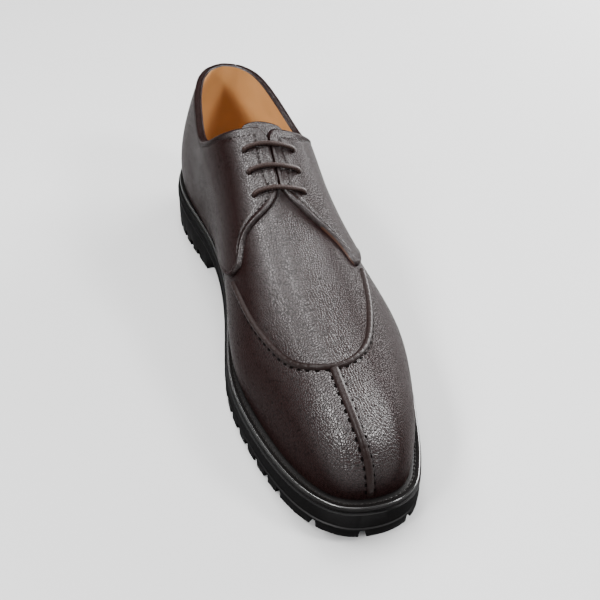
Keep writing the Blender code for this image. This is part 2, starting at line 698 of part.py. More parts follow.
def build_welt(last, shoe):
    """Strip all round, under the upper's edge."""
    rows = even_rows(last, 0, TOE_TIP, EDGE_SPACING)
    solid = Solid()
    loops = []
    low = GAP + WELT_THICKNESS
    for outside, drop in ((WELT_INSIDE, GAP), (WELT_OUTSIDE, GAP), (WELT_OUTSIDE, low), (WELT_INSIDE, low)):
        halves = [edge_line(last, rows, side, outside, lambda at: last.feather_z(at) - drop)
                  for side in (MEDIAL, LATERAL)]
        loops.append(np.vstack([halves[0], halves[1][-2:0:-1]]))
    numbers = solid.add(np.stack(loops))
    solid.ring(np.concatenate([numbers, numbers[:1]]))
    shoe.make("welt", solid, "black_welt")


def notch(solid, middle, outward, top_z):
    """Groove cutter across a lug line, wider at the floor."""
    aside = np.array([-outward[1], outward[0]])
    loops = []
    for width, z in ((NOTCH_WIDTH_BOTTOM, NOTCH_BELOW_FLOOR), (NOTCH_WIDTH_TOP, top_z)):
        reach = ((NOTCH_INSIDE, -0.5), (NOTCH_OUTSIDE, -0.5), (NOTCH_OUTSIDE, 0.5), (NOTCH_INSIDE, 0.5))
        plan = [middle + outward * out + aside * width * half for out, half in reach]
        loops.append([(*spot, z) for spot in plan])
    numbers = solid.add(np.array(loops))
    solid.ring(numbers)
    solid.face(numbers[0])
    solid.face(numbers[1])


def notches(last, places, top_height):
    """Cutters along the outline.  places: (side, row)."""
    solid = Solid()
    for side, row in places:
        middle = last.outline(row, side, 0.0)
        ahead = last.outline(row, side, 1.0)
        notch(solid, middle, unit(ahead - middle), top_height(last.station_at(row)))
    return solid


def lug_places(last, spaced, start, end, aside=0.0):
    """Sides and rows of notches by length along the outline from one end, moved to the medial side."""
    places = []
    for side in (MEDIAL, LATERAL):
        line = last.outline(last.row, side, LUG_OUTSIDE)
        length = chord_lengths(line)
        length = length if start < end else length[-1] - length
        order = np.argsort(length)
        limit = np.interp(last.row_at(end), last.row, length)
        for at in spaced:
            if at < limit and (at > 0 or side == MEDIAL):
                places.append((side, float(np.interp(at - side * aside, length[order], last.row[order]))))
    return places


def centre_lugs(last):
    """Cross bars left standing in the middle of the forepart."""
    solid = Solid()
    for station in CENTRE_LUG_STATIONS:
        loops = []
        ends = (station - CENTRE_LUG_LENGTH / 2, station + CENTRE_LUG_LENGTH / 2)
        for rise in (0.0, TREAD_DEPTH + CENTRE_LUG_INTO_SOLE):
            loop = []
            for place, side in ((0, -1), (0, 1), (1, 1), (1, -1)):
                x = last.ridge[0, 0] + side * CENTRE_LUG_WIDTH / 2
                z = float(tread("bottom_z", ends[place])) + rise
                loop.append((x, -ends[place], z))
            loops.append(loop)
        numbers = solid.add(np.array(loops))
        solid.ring(numbers)
        solid.face(numbers[0])
        solid.face(numbers[1])
    return solid


def build_outsole(last, shoe):
    """Rubber sole: thin through the waist, lugged under the forepart."""
    stations = [row[0] for row in TREAD[1:-1]]
    rows = even_rows(last, 0, TOE_TIP, EDGE_SPACING, stations)
    levels = ((LUG_OUTSIDE, lambda at: tread("bottom_z", at)),
              (LUG_OUTSIDE, lambda at: tread("step_z", at) - SIDE_STEP),
              (SOLE_OUTSIDE, lambda at: tread("step_z", at)),
              (SOLE_OUTSIDE, lambda at: last.feather_z(at) - GAP - WELT_THICKNESS - GAP))
    outsole = shoe.make("outsole", stack(last, rows, levels), "black_rubber")

    pocket_rows = even_rows(last, *POCKET_STATIONS, POCKET_SPACING, POCKET_BENDS)
    pocket_levels = ((TREAD_POCKET_OUTSIDE, lambda at: tread("bottom_z", at) - TREAD_DEPTH),
                     (TREAD_POCKET_OUTSIDE, lambda at: tread("bottom_z", at) + TREAD_DEPTH))
    pocket = shoe.make("tread_pocket", stack(last, pocket_rows, pocket_levels))
    combine(outsole, pocket, "DIFFERENCE")
    combine(outsole, shoe.make("centre_lugs", centre_lugs(last)), "UNION")

    spaced = np.r_[0.0, TOE_BLOCK_LENGTH, 2 * TOE_BLOCK_LENGTH + LUG_PITCH * np.arange(20)]
    places = lug_places(last, spaced, TOE_TIP, FOREPART_LUGS_FROM, TOE_NOTCH_ASIDE)
    cutter = notches(last, places, lambda at: float(tread("bottom_z", at)) + NOTCH_HEIGHT)
    combine(outsole, shoe.make("sole_notches", cutter), "DIFFERENCE")


def build_heel(last, shoe):
    """Lugged heel block with a straight breast."""
    rows = even_rows(last, 0, HEEL_BREAST_STATION, EDGE_SPACING, HEEL_BENDS)
    levels = ((HEEL_FOOT_OUTSIDE, np.zeros_like), (HEEL_OUTSIDE, lambda at: tread("bottom_z", at) - GAP))
    heel = shoe.make("heel", stack(last, rows, levels), "black_rubber")
    spaced = HEEL_LUG_PITCH * (0.5 + np.arange(20))
    places = lug_places(last, spaced, 0, HEEL_LUGS_TO)
    cutter = notches(last, places, lambda at: NOTCH_HEIGHT)
    combine(heel, shoe.make("heel_notches", cutter), "DIFFERENCE")


def build():
    """All pieces of the shoe."""
    for old in list(bpy.data.objects):
        bpy.data.objects.remove(old)
    last = Last()
    shoe = Shoe(sole_origin(last))
    build_outsole(last, shoe)
    build_heel(last, shoe)
    build_welt(last, shoe)
    build_insole(last, shoe)
    upper = build_upper(last, shoe)
    apron_seam, split_seam = seam_solids(last)
    combine(upper, shoe.make("apron_seam", apron_seam), "UNION")
    combine(upper, shoe.make("split_seam", split_seam), "UNION")
    eyelets = shoe.make("eyelet_holes", eyelet_solid(last))
    combine(upper, eyelets, "DIFFERENCE")
    for side in (MEDIAL, LATERAL):
        combine(build_quarter(last, shoe, side), eyelets, "DIFFERENCE")
    build_back_strap(last, shoe)
    build_tongue(last, shoe)
    build_lace_bars(last, shoe)


build()
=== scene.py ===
"""Looks of the split-toe derby: leather, seams, stitching, laces, welt, lugs, stage and camera.

The last's table and the edges on it are those of the part's solids, read here at a finer
spacing.  Lengths are millimetres from the heel back until a piece is placed in the frame.
"""

import bmesh
import bpy
import numpy as np
from mathutils import Matrix, Vector


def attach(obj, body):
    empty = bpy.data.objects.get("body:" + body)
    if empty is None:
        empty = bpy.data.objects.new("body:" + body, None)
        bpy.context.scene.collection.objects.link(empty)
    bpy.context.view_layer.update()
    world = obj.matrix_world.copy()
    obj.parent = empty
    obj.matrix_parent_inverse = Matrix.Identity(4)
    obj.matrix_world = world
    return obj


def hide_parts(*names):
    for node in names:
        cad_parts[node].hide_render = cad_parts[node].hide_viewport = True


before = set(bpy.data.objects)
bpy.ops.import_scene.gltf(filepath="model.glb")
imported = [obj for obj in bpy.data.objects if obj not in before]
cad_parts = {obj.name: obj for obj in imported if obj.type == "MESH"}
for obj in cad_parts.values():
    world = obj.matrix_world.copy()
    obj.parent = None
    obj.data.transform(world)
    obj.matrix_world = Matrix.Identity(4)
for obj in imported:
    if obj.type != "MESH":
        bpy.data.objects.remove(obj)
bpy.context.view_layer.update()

MM = 0.001
MEDIAL = -1
LATERAL = 1
SIDES = (MEDIAL, LATERAL)
SIDE_NAMES = {MEDIAL: "medial", LATERAL: "lateral"}

# Thicknesses and outlines, as in the part's source
GAP = 0.3
OVERLAY_TOP = 2.22
UPPER_WALL = 1.8
TONGUE_UNDER = 2.6
TONGUE_WALL = 2.0
WELT_THICKNESS = 3.7
SOLE_OUTSIDE = 6.0
LUG_OUTSIDE = 6.6
HEEL_OUTSIDE = 6.4
HEEL_FOOT_OUTSIDE = 6.2
TREAD_POCKET_OUTSIDE = -13.0

LAST_COLUMNS = ("station", "medial", "lateral", "feather_z", "ridge_x", "ridge_z",
                "wall", "bulge_in", "bulge_out", "crown_in", "crown_out", "tilt")
LAST = (
    (0, 0.0, 0.0, 31.0, 1.5, 142.0, 0.27, 1.12, 1.12, 0.12, 0.12, 0.0),
    (4, 15.0, 15.0, 31.0, 1.5, 142.0, 0.27, 1.15, 1.10, 0.10, 0.14, 0.0),
    (14, 25.5, 25.5, 31.0, 1.5, 141.0, 0.27, 1.19, 1.10, 0.06, 0.14, 0.0),
    (32, 32.0, 32.0, 31.0, 1.2, 139.0, 0.27, 1.22, 1.09, 0.14, 0.18, 0.02),
    (60, 32.5, 34.0, 30.0, 0.0, 133.5, 0.30, 1.15, 1.06, 0.58, 0.42, 0.05),
    (90, 28.8, 35.0, 27.0, -2.0, 121.0, 0.34, 1.18, 1.03, 1.22, 0.78, 0.13),
    (120, 28.5, 38.0, 22.5, -3.6, 103.8, 0.36, 1.26, 0.96, 1.24, 0.80, 0.23),
    (150, 32.9, 42.6, 18.5, -5.0, 89.0, 0.38, 1.27, 0.94, 1.00, 0.77, 0.22),
    (180, 39.4, 46.2, 16.8, -6.1, 76.5, 0.42, 1.22, 1.03, 0.74, 0.68, 0.14),
    (205, 42.2, 46.2, 16.5, -7.0, 69.2, 0.44, 1.20, 1.09, 0.63, 0.63, 0.07),
    (228, 40.4, 41.2, 17.2, -8.2, 65.2, 0.50, 1.09, 1.12, 0.58, 0.58, 0.02),
    (250, 37.0, 33.8, 18.8, -9.4, 62.3, 0.54, 1.03, 1.13, 0.60, 0.60, 0.0),
    (270, 32.0, 25.8, 21.2, -9.8, 59.5, 0.58, 1.02, 1.12, 0.62, 0.62, 0.0),
    (284, 26.0, 18.6, 23.5, -9.0, 54.0, 0.60, 1.02, 1.08, 0.62, 0.62, 0.0),
    (293, 18.5, 11.8, 25.3, -7.7, 44.0, 0.60, 1.02, 1.04, 0.62, 0.62, 0.0),
    (297, 6.8, -6.8, 26.0, -6.8, 26.0, 0.60, 1.02, 1.02, 0.62, 0.62, 0.0),
)
TOE_TIP = LAST[-1][0]
# How far the sole's edge draws in along the waist: station, medial, lateral
EDGE_TUCK = (
    (0, 0.0, 0.0), (40, 0.2, 0.2), (80, 1.6, 1.0), (115, 3.0, 1.8), (150, 3.2, 1.8), (180, 2.4, 1.8),
    (205, 1.0, 1.8), (230, 0.0, 1.6), (255, 0.0, 1.3), (280, 0.0, 0.5), (297, 0.0, 0.0),
)
HEEL_CURVE = ((0, 0.0), (15, -2.5), (30, -3.5), (50, -1.5), (70, 3.0), (111, 14.0))
HEEL_CURVE_REACH = 70.0

# Edges on the upper, as in the part's source
TOPLINE = ((0, 93.5), (20, 91.6), (40, 88.2), (60, 84.4), (76, 82.6), (86, 85.5),
           (96, 91.5), (104, 98.4), (111, 105.6), (117, 112.6))
THROAT_STATION = 146.5
THROAT_HALF_GAP = 0.25
FACING_CORNER_STATION = 120.0
FACING_CORNER_RADIUS = 7.0
FACING_CORNER_REACH = 10.0
QUARTER_FRONT = {
    MEDIAL: ((146, 0.7), (151.0, 2.8), (155.4, 6.6), (158.4, 11.6), (160.0, 17.4), (161.2, 22.0),
             (163.4, 25.6), (167.0, 28.6), (171.5, 32.0)),
    LATERAL: ((146, 0.7), (151.2, 4.0), (157.4, 10.0), (164.4, 18.0), (169.6, 25.0), (173.4, 29.0),
              (177.0, 31.5), (180.0, 33.2), (182.5, 35.5)),
}
QUARTER_FOOT = {
    MEDIAL: ((96, 102.0), (120, 84.0), (140, 68.0), (155, 55.5), (164, 48.0), (169.5, 41.0), (171.5, 33.6)),
    LATERAL: ((96, 102.0), (120, 84.0), (140, 70.0), (160, 55.5), (174, 45.0), (180, 40.5), (182.5, 37.0)),
}
APRON = ((249.5, 0.0), (248.4, 5.0), (245.6, 10.6), (240.2, 17.0), (232, 22.8), (222, 27.4),
         (205, 33.6), (185, 39.6), (170.5, 44.8))
APRON_END = {MEDIAL: 171.5, LATERAL: 182.5}
APRON_SHIFT = 1.2
PLUG_MIDDLE = 205.0
TONGUE_HALF_WIDTH = ((107.4, 10.0), (108.4, 13.5), (111, 17.5), (116, 21.5), (146, 23.0), (168, 20.0))
STRAP_EDGE_ROW = 0.80
STRAP_TO_QUARTER_ROW = 0.02
LACE_STATIONS = (122.8, 134.8, 147.2)
EYELET_FROM_RIDGE = 13.2
LACE_RADIUS = 1.3

# Underside of the sole, as in the part's source
TREAD_COLUMNS = ("station", "bottom_z", "step_z")
TREAD = (
    (0, 20.2, 23.2), (32, 20.2, 23.2), (60, 19.2, 22.2), (90, 16.2, 19.2), (120, 11.5, 14.6),
    (150, 7.5, 10.6), (151.5, 2.0, 8.2), (170, 0.5, 6.5), (185, 0.0, 6.0), (235, 0.0, 6.0),
    (250, 0.5, 6.5), (265, 1.6, 7.6), (280, 3.6, 9.6), (290, 5.4, 11.4), (297, 7.0, 13.0),
)
HEEL_BREAST_STATION = 90.0
HEEL_BENDS = (32, 60)
SIDE_STEP = 0.5
NOTCH_WIDTH_TOP = 3.0
NOTCH_WIDTH_BOTTOM = 4.8
NOTCH_HEIGHT = 5.0
NOTCH_INSIDE = -6.5
NOTCH_OUTSIDE = 9.0
NOTCH_BELOW_FLOOR = -3.0
TOE_BLOCK_LENGTH = 24.2
TOE_NOTCH_ASIDE = 3.3
LUG_PITCH = 11.2
FOREPART_LUGS_FROM = 158.0
HEEL_LUG_PITCH = 11.0
HEEL_LUGS_TO = 84.0
MOST_LUGS = 20
MOULDED_EDGE = 0.45
TREAD_DEPTH = 4.0
POCKET_STATIONS = (166, 268)
POCKET_BENDS = (185, 235, 250)
CENTRE_LUG_STATIONS = (176, 193, 210, 227, 244)
CENTRE_LUG_LENGTH = 9.0
CENTRE_LUG_WIDTH = 30.0
CENTRE_LUG_INTO_SOLE = 1.5

# Spacing of the finer meshes, and the angles beyond which their edges are sharp
UPPER_SPACING = 1.9
UPPER_COLUMNS = 52
FACING_ROWS = (100.0, 124.0, 0.7)
QUARTER_SPACING = 1.0
OUTLINE_SAMPLES = 400
COLLAR_SAMPLES = 700
# Added along a quarter's top edge, so that its stations never repeat
STATION_DRIFT = 0.05
# Distances of a quarter's columns from its edge; the first of them serve at its foot too
QUARTER_COLUMNS = np.r_[0, 0.12, 0.35, 0.7, 1.1, 1.5, 1.9, 2.3, 2.7, 3.2:7.8:10j]
QUARTER_FOOT_COLUMNS = 9
QUARTER_MIDDLE_COLUMNS = 30
QUARTER_FULL_SPAN = 30.0
STRAP_ROWS = 26
STRAP_COLUMNS = np.r_[0, 0.004, 0.01, 0.02, 0.035:1:50j]
TONGUE_TOP_STEPS = (0.0, 0.15, 0.4, 0.8, 1.3)
TONGUE_ROWS = 54
TONGUE_COLUMNS = 49
EDGE_SPACING = 2.5
POCKET_SPACING = 6.0
SHARP_ANGLE = 40.0
SOFT_ANGLE = 60.0

# Edges of the leather
THROAT_STEP = 0.02
COLLAR_RIM = 0.5
OVERLAY_RIM = 0.1
OVERLAY_SUNK = -0.25
OVERLAY_FOOT = 0.3
# Rounding of a quarter's edge: station, radius
QUARTER_ROUND = ((0, 1.1), (114, 1.0), (120, 0.35), (143, 0.35), (149, 1.3), (184, 1.3))
# Raw edge at the front of the lateral quarter
RAW_EDGE_FROM = 165.0
RAW_EDGE_COLUMNS = 3
EDGE_ROLL = 0.35
EDGE_ROLL_INSET = 1.5
EDGE_ROLL_WIDTH = 0.8
STRAP_ROUND = 1.2
STRAP_ABOVE = 0.2
STRAP_MIDDLE_SHARE = 0.7
TONGUE_ROUND = 1.0
TONGUE_TOP_SLOPE = 1.2

# Sewing
STITCH_SINK = 0.42
STITCH_GROOVE = 0.7
# Stitch line of a quarter: station, distance inside the edge
STITCH_INSETS = ((0, 2.5), (104, 2.6), (112, 4.4), (119, 6.6), (138, 6.8), (147, 5.2), (154, 3.7), (184, 3.2))
FOOT_STITCH_INSET = 2.4
FOOT_STITCH_FROM = 100.0
SEWING_SPACING = 0.6
# What is left of a sewing line without its curling ends
SEWING_KEPT = slice(2, -6)
# Pitch, length and radius of the stitches
STITCH = (2.7, 2.0, 0.32)
WELT_STITCH = (2.6, 2.1, 0.45)
STITCH_END_SIZE = 0.45
STRAP_STITCH_ROW = 0.66
STRAP_STITCH_START = 0.03
STRAP_STITCH_END = 0.9409
WELT_INSIDE = -7.0
WELT_STITCH_OUTSIDE = 2.5
WELT_STITCH_SINK = 0.3
# Points of the welt's section that the waxed lip takes
WELT_LIP = (8, 12)

# Raised seams; a hole's size is half its length and half its width
SEAM_HEIGHT = 1.6
SEAM_PITCH = 4.4
PINCH_WIDTH = 0.17
BEAD_SUNK = -0.25
BEAD_ROOT = 0.7
HOLE_LIFT = 0.05
# Section of a stitch hole: share of its size, height
HOLE_PROFILE = ((0.5, 0.04), (1.0, 0.0), (0.6, -0.3))
APRON_WIDTH = 3.4
APRON_PINCH = 0.12
APRON_POWER = 0.7
APRON_HOLE = (1.15, 0.62)
APRON_HOLE_ASIDE = 0.3
SPLIT_WIDTHS = (4.6, 3.4)
SPLIT_PINCH = 0.07
SPLIT_POWER = 0.6
SPLIT_HOLE = {MEDIAL: (1.15, 0.64), LATERAL: (0.7, 0.36)}
SPLIT_HOLE_ASIDE = 0.25
SPLIT_HOLES_END = 3.0
# Fading of the split seam at its start and end: share of its length, height left
SPLIT_FADES = ((0.03, 0.2), (0.05, 0.3))
SPLIT_UNDER_APRON = 0.8
SPLIT_END_Z = 28.0

# Lace and eyelets
EYELET_RADIUS = 1.75
EYELET_DEPTH = 4.0
LACE_CLEARANCE = 0.15
LACE_UNDER = -2.2
LACE_FLAT = 0.25

# Materials
# Pebble leather colours: the deep colour is mostly painted shade in the grain's creases, the high colour the
# pebbles' tops
LEATHER_COLOURS = ((0.0006, 0.0003, 0.0003), (0.0078, 0.0037, 0.0035))
# The gloss fades between these facings, to this share
GLOSS_FADE = (0.08, 0.42)
GLOSS_LEFT = 0.05
# Scale of the patches, unevenness of the polish, scale of the grain, its strength
SMOOTH_KINDS = {
    "leather": (40.0, 0.06, 2400.0, 0.25),
    "welt": (70.0, 0.05, 1800.0, 0.25),
    "rubber": (90.0, 0.09, 1500.0, 0.3),
}
# Key, name, kind, deep colour, high colour, roughness, specular level
SMOOTH_LOOKS = (
    ("lining", "tan_lining", "leather", (0.25, 0.12, 0.040), (0.38, 0.19, 0.068), 0.52, 0.4),
    ("raw_edge", "raw_leather_edge", "leather", (0.012, 0.004, 0.002), (0.036, 0.013, 0.006), 0.6, 0.2),
    ("seam", "seam_leather", "leather", (0.0025, 0.0012, 0.0010), (0.0075, 0.0036, 0.0031), 0.5, 0.09),
    ("welt", "black_welt_edge", "welt", (0.0012, 0.0011, 0.0011), (0.0038, 0.0032, 0.0030), 0.5, 0.06),
    ("lip", "waxed_welt_lip", "welt", (0.0012, 0.0011, 0.0011), (0.0038, 0.0032, 0.0030), 0.2, 0.5),
    ("rubber", "black_lug_rubber", "rubber", (0.0012, 0.0012, 0.0013), (0.0032, 0.0030, 0.0030), 0.59, 0.14),
)
# Key, name, dark colour, light colour, scale of the strands
CORD_LOOKS = (
    ("thread", "brown_thread", (0.0010, 0.0005, 0.0004), (0.0040, 0.0021, 0.0017), 5200.0),
    ("welt_thread", "black_thread", (0.0015, 0.0013, 0.0012), (0.006, 0.005, 0.0046), 5200.0),
    ("lace", "brown_waxed_lace", (0.004, 0.0020, 0.0017), (0.014, 0.0078, 0.0066), 4200.0),
)

# Stage, in metres
FLOOR_REACH = 6.0
WORLD_COLOUR = (0.95, 0.97, 1.0, 1.0)
WORLD_STRENGTH = 0.22
# Name, place, aim, width, height, power in watts
LIGHTS = (
    ("left_strip", (-0.76, 0.12, 1.05), (-0.02, -0.02, 0.07), 0.8, 0.2, 34.0),
    ("top_strip", (0.0, 0.45, 1.2), (-0.01, -0.06, 0.07), 0.36, 1.0, 32.0),
    ("toe_left", (-0.68, -0.47, 0.62), (-0.02, -0.13, 0.05), 0.2, 0.2, 17.0),
    ("toe_right", (0.62, -0.58, 0.78), (0.0, -0.13, 0.05), 0.22, 0.22, 20.0),
    ("right_back", (1.2, 0.5, 0.36), (0, 0, 0.07), 1.1, 0.6, 105.0),
    ("overhead", (0.2, 0.35, 3.0), (0.2, 0.2, 0.0), 5.0, 5.0, 150.0),
)

# Camera, in the frame in metres; focal lengths and aim in pixels, sensor in millimetres
CAMERA_PLACE = (-0.11425, -0.33263, 0.32035)
CAMERA_RIGHT = (0.98194, -0.18319, -0.04735)
CAMERA_UP = (0.14479, 0.56640, 0.81131)
PHOTO_FOCAL = 490.28
PHOTO_AIM = (78.0, 46.0)
FOCAL = 800.0
IMAGE_SIZE = 600
SENSOR = 36.0


def curve_through(parameter, points, closed=False):
    """Cubic spline with continuous curvature; natural ends unless it is closed."""
    t = np.asarray(parameter, float)
    p = np.asarray(points, float).reshape(len(t), -1)
    count = len(t)
    step = np.diff(t)
    slope = np.diff(p, axis=0) / step[:, None]
    matrix = np.zeros((count, count))
    target = np.zeros_like(p)
    for i in range(1, count - 1):
        matrix[i, i - 1:i + 2] = step[i - 1], 2 * (step[i - 1] + step[i]), step[i]
        target[i] = 6 * (slope[i] - slope[i - 1])
    matrix[0, 0] = matrix[-1, -1] = 1.0
    if closed:
        matrix[0, [0, 1, -2]] = 2 * (step[-1] + step[0]), step[0], step[-1]
        target[0] = 6 * (slope[0] - slope[-1])
        matrix[-1, 0] = -1.0
    bend = np.linalg.solve(matrix, target)

    def curve(where):
        q = np.asarray(where, float)
        i = np.clip(np.searchsorted(t, q, side="right") - 1, 0, count - 2)
        h = step[i][..., None]
        a = (t[i + 1] - q)[..., None]
        b = (q - t[i])[..., None]
        value = (bend[i] * a ** 3 + bend[i + 1] * b ** 3) / (6 * h)
        value += (p[i] / h - bend[i] * h / 6) * a
        value += (p[i + 1] / h - bend[i + 1] * h / 6) * b
        return value

    return curve


def chord_lengths(points):
    """Running length along a row of points."""
    return np.r_[0.0, np.cumsum(np.linalg.norm(np.diff(points, axis=0), axis=1))]


def unit(vectors):
    """Vectors scaled to length one."""
    return vectors / np.maximum(np.linalg.norm(vectors, axis=-1, keepdims=True), 1e-12)


def along(points, count):
    """A smooth line through points, at even spacing."""
    points = np.array(points, float)
    fine = curve_through(chord_lengths(points), points)(np.linspace(0, chord_lengths(points)[-1], 900))
    return even(fine, count)


def even(points, count):
    """A row of points at even spacing."""
    length = chord_lengths(points)
    at = np.linspace(0, length[-1], count)
    return np.stack([np.interp(at, length, points[:, k]) for k in range(points.shape[1])], axis=1)


def straight_table(table, station):
    """Second column of a two-column table, read in straight lines."""
    return np.interp(station, *np.array(table, float).T)


def smooth_table(table, station):
    """Second column of a two-column table, read through a spline."""
    table = np.array(table, float)
    inside = np.clip(station, table[0, 0], table[-1, 0])
    return curve_through(table[:, 0], table[:, 1])(inside)[..., 0]


class Last:
    """The surface of the last, sampled once and read by interpolation.

    row: position along the LAST table, 0 at the heel back.
    share: 0 on the ridge, 1 on the feather line, by length along the section.
    """

    ROWS = 901
    SHARES = 221

    def __init__(self):
        table = np.array(LAST, float)
        column = dict(zip(LAST_COLUMNS, table.T))
        self.last_row = len(table) - 1
        self.row = np.linspace(0, self.last_row, self.ROWS)
        self.feather = self.feather_lines(column)
        self.ridge = self.ridge_line(column)
        self.station = self.ridge[:, 1]
        shape = curve_through(range(len(table)), table[:, 6:])(self.row)
        self.tilt = shape[:, -1]
        self.surface = {}
        self.girth = {}
        for side in SIDES:
            self.surface[side], self.girth[side] = self.sections(side, shape)
        self.normal = self.surface_normals()
        self.outward = self.outline_normals()
        self.tuck = {side: smooth_table([(row[0], row[place]) for row in EDGE_TUCK], self.station)
                     for side, place in ((MEDIAL, 1), (LATERAL, 2))}

    def feather_lines(self, column):
        """Both halves of the closed feather line, in the table's axes."""
        medial = np.c_[-column["medial"], column["station"], column["feather_z"]]
        lateral = np.c_[column["lateral"], column["station"], column["feather_z"]]
        loop = np.vstack([medial, lateral[-2::-1]])
        length = chord_lengths(loop)
        curve = curve_through(length, loop, closed=True)
        at_medial = np.interp(self.row, range(len(medial)), length[:len(medial)])
        at_lateral = np.interp(self.row, range(len(medial)), length[::-1][:len(medial)])
        return {MEDIAL: curve(at_medial), LATERAL: curve(at_lateral)}

    def ridge_line(self, column):
        """The top line.  It is mirrored below the toe tip, so it ends upright there."""
        profile = np.c_[column["station"], column["ridge_z"]]
        below = np.c_[profile[-3:-1, 0], 2 * profile[-1, 1] - profile[-3:-1, 1]][::-1]
        both = np.vstack([profile, below])
        length = chord_lengths(both)
        at = np.interp(self.row, range(len(profile)), length[:len(profile)])
        across = curve_through(range(len(profile)), column["ridge_x"])(self.row)
        return np.c_[across, curve_through(length, both)(at)]

    def sections(self, side, shape):
        """Each section as a Bezier curve from ridge to feather, spaced by length."""
        wall, bulge_in, bulge_out, crown_in, crown_out, tilt = shape.T
        bulge, crown = (bulge_in, crown_in) if side == MEDIAL else (bulge_out, crown_out)
        foot, top = self.feather[side], self.ridge
        width = foot[:, 0] - top[:, 0]
        height = top[:, 2] - foot[:, 2]
        belly = np.c_[top[:, 0] + width * bulge, foot[:, 1], foot[:, 2] + wall * height]
        shoulder = np.c_[top[:, 0] + width * crown, top[:, 1], top[:, 2] - width * crown * tilt]
        s = np.linspace(0, 1, self.SHARES)[None, :, None]
        points = (1 - s) ** 3 * top[:, None] + 3 * (1 - s) ** 2 * s * shoulder[:, None]
        points = points + 3 * (1 - s) * s ** 2 * belly[:, None] + s ** 3 * foot[:, None]
        heel_curve = curve_through(*zip(*HEEL_CURVE))
        fade = np.clip(1 - points[..., 1] / HEEL_CURVE_REACH, 0, 1)
        fade = fade * fade * (3 - 2 * fade)
        above_seat = np.clip(points[..., 2] - LAST[0][3], 0, HEEL_CURVE[-1][0])
        points[..., 1] += heel_curve(above_seat)[..., 0] * fade
        points[..., 1] *= -1.0
        spaced = np.empty_like(points)
        girth = np.empty(self.ROWS)
        for i, section in enumerate(points):
            length = chord_lengths(section)
            girth[i] = length[-1]
            at = np.linspace(0, length[-1], self.SHARES)
            spaced[i] = np.c_[tuple(np.interp(at, length, section[:, axis]) for axis in range(3))]
        return spaced, girth

    def surface_normals(self):
        """Outward normals, equal on both sides along the ridge, heel back and toe tip."""
        normal = {}
        for side in SIDES:
            grid = self.surface[side]
            normal[side] = unit(np.cross(np.gradient(grid, axis=0), np.gradient(grid, axis=1)) * side)
            normal[side][-1] = (0.0, -1.0, 0.0)
        heel_back = unit(normal[MEDIAL][0] + normal[LATERAL][0])
        ridge = unit(normal[MEDIAL][:, 0] + normal[LATERAL][:, 0])
        for side in SIDES:
            normal[side][0] = heel_back
            normal[side][:, 0] = ridge
        return normal

    def outline_normals(self):
        """Outward directions of the feather line in plan."""
        outward = {}
        for side in SIDES:
            ahead = np.gradient(self.surface[side][:, -1, :2], axis=0)
            outward[side] = unit(np.c_[-ahead[:, 1], ahead[:, 0]] * side)
        for end in (0, -1):
            middle = unit(outward[MEDIAL][end] + outward[LATERAL][end])
            outward[MEDIAL][end] = outward[LATERAL][end] = middle
        return outward

    def row_at(self, station):
        """Row of a station."""
        return np.interp(station, self.station, self.row)

    def station_at(self, row):
        """Station of a row."""
        return np.interp(row, self.row, self.station)

    def girth_at(self, row, side):
        """Length of a section from ridge to feather."""
        return np.interp(row, self.row, self.girth[side])

    def feather_z(self, station):
        """Height of the feather line, carried on past the toe tip."""
        line = self.feather[MEDIAL]
        rise = (LAST[-1][3] - LAST[-2][3]) / (TOE_TIP - LAST[-2][0])
        past = np.clip(station - TOE_TIP, 0, None) * rise
        return np.interp(station, line[:, 1], line[:, 2]) + past

    def read(self, grid, row, share):
        """Bilinear reading of a sampled grid."""
        row, share = np.broadcast_arrays(np.asarray(row, float), np.asarray(share, float))
        i = row / self.last_row * (self.ROWS - 1)
        j = share * (self.SHARES - 1)
        i0 = np.clip(i.astype(int), 0, self.ROWS - 2)
        j0 = np.clip(j.astype(int), 0, self.SHARES - 2)
        u = (i - i0)[..., None]
        v = (j - j0)[..., None]
        near = grid[i0, j0] * (1 - v) + grid[i0, j0 + 1] * v
        far = grid[i0 + 1, j0] * (1 - v) + grid[i0 + 1, j0 + 1] * v
        return near * (1 - u) + far * u

    def normal_at(self, row, share, side):
        """Outward normals of the surface."""
        return unit(self.read(self.normal[side], row, share))

    def spot(self, row, share, side, lift=0.0):
        """Points on the surface, lifted off it along its normals."""
        lift = np.asarray(lift, float)[..., None]
        return self.read(self.surface[side], row, share) + lift * self.normal_at(row, share, side)

    def across(self, row, from_ridge, lift=0.0):
        """Points and normals at a signed distance from the ridge, negative on the medial side."""
        row, from_ridge, lift = np.broadcast_arrays(*(np.asarray(v, float) for v in (row, from_ridge, lift)))
        points = np.empty(row.shape + (3,))
        normals = np.empty(row.shape + (3,))
        for side in SIDES:
            here = (from_ridge < 0) == (side == MEDIAL)
            share = np.clip(np.abs(from_ridge[here]) / self.girth_at(row[here], side), 0, 1)
            points[here] = self.spot(row[here], share, side, lift[here])
            normals[here] = self.normal_at(row[here], share, side)
        return points, normals

    def outline(self, row, side, outside):
        """Plan points of the feather line moved outward, less so along the waist."""
        i = np.asarray(row, float) / self.last_row * (self.ROWS - 1)
        at = np.arange(self.ROWS)
        reach = outside - self.tuck[side] if outside >= 0 else np.full(self.ROWS, outside)
        line = self.surface[side][:, -1, :2] + reach[:, None] * self.outward[side]
        return np.stack([np.interp(i, at, line[:, 0]), np.interp(i, at, line[:, 1])], axis=-1)

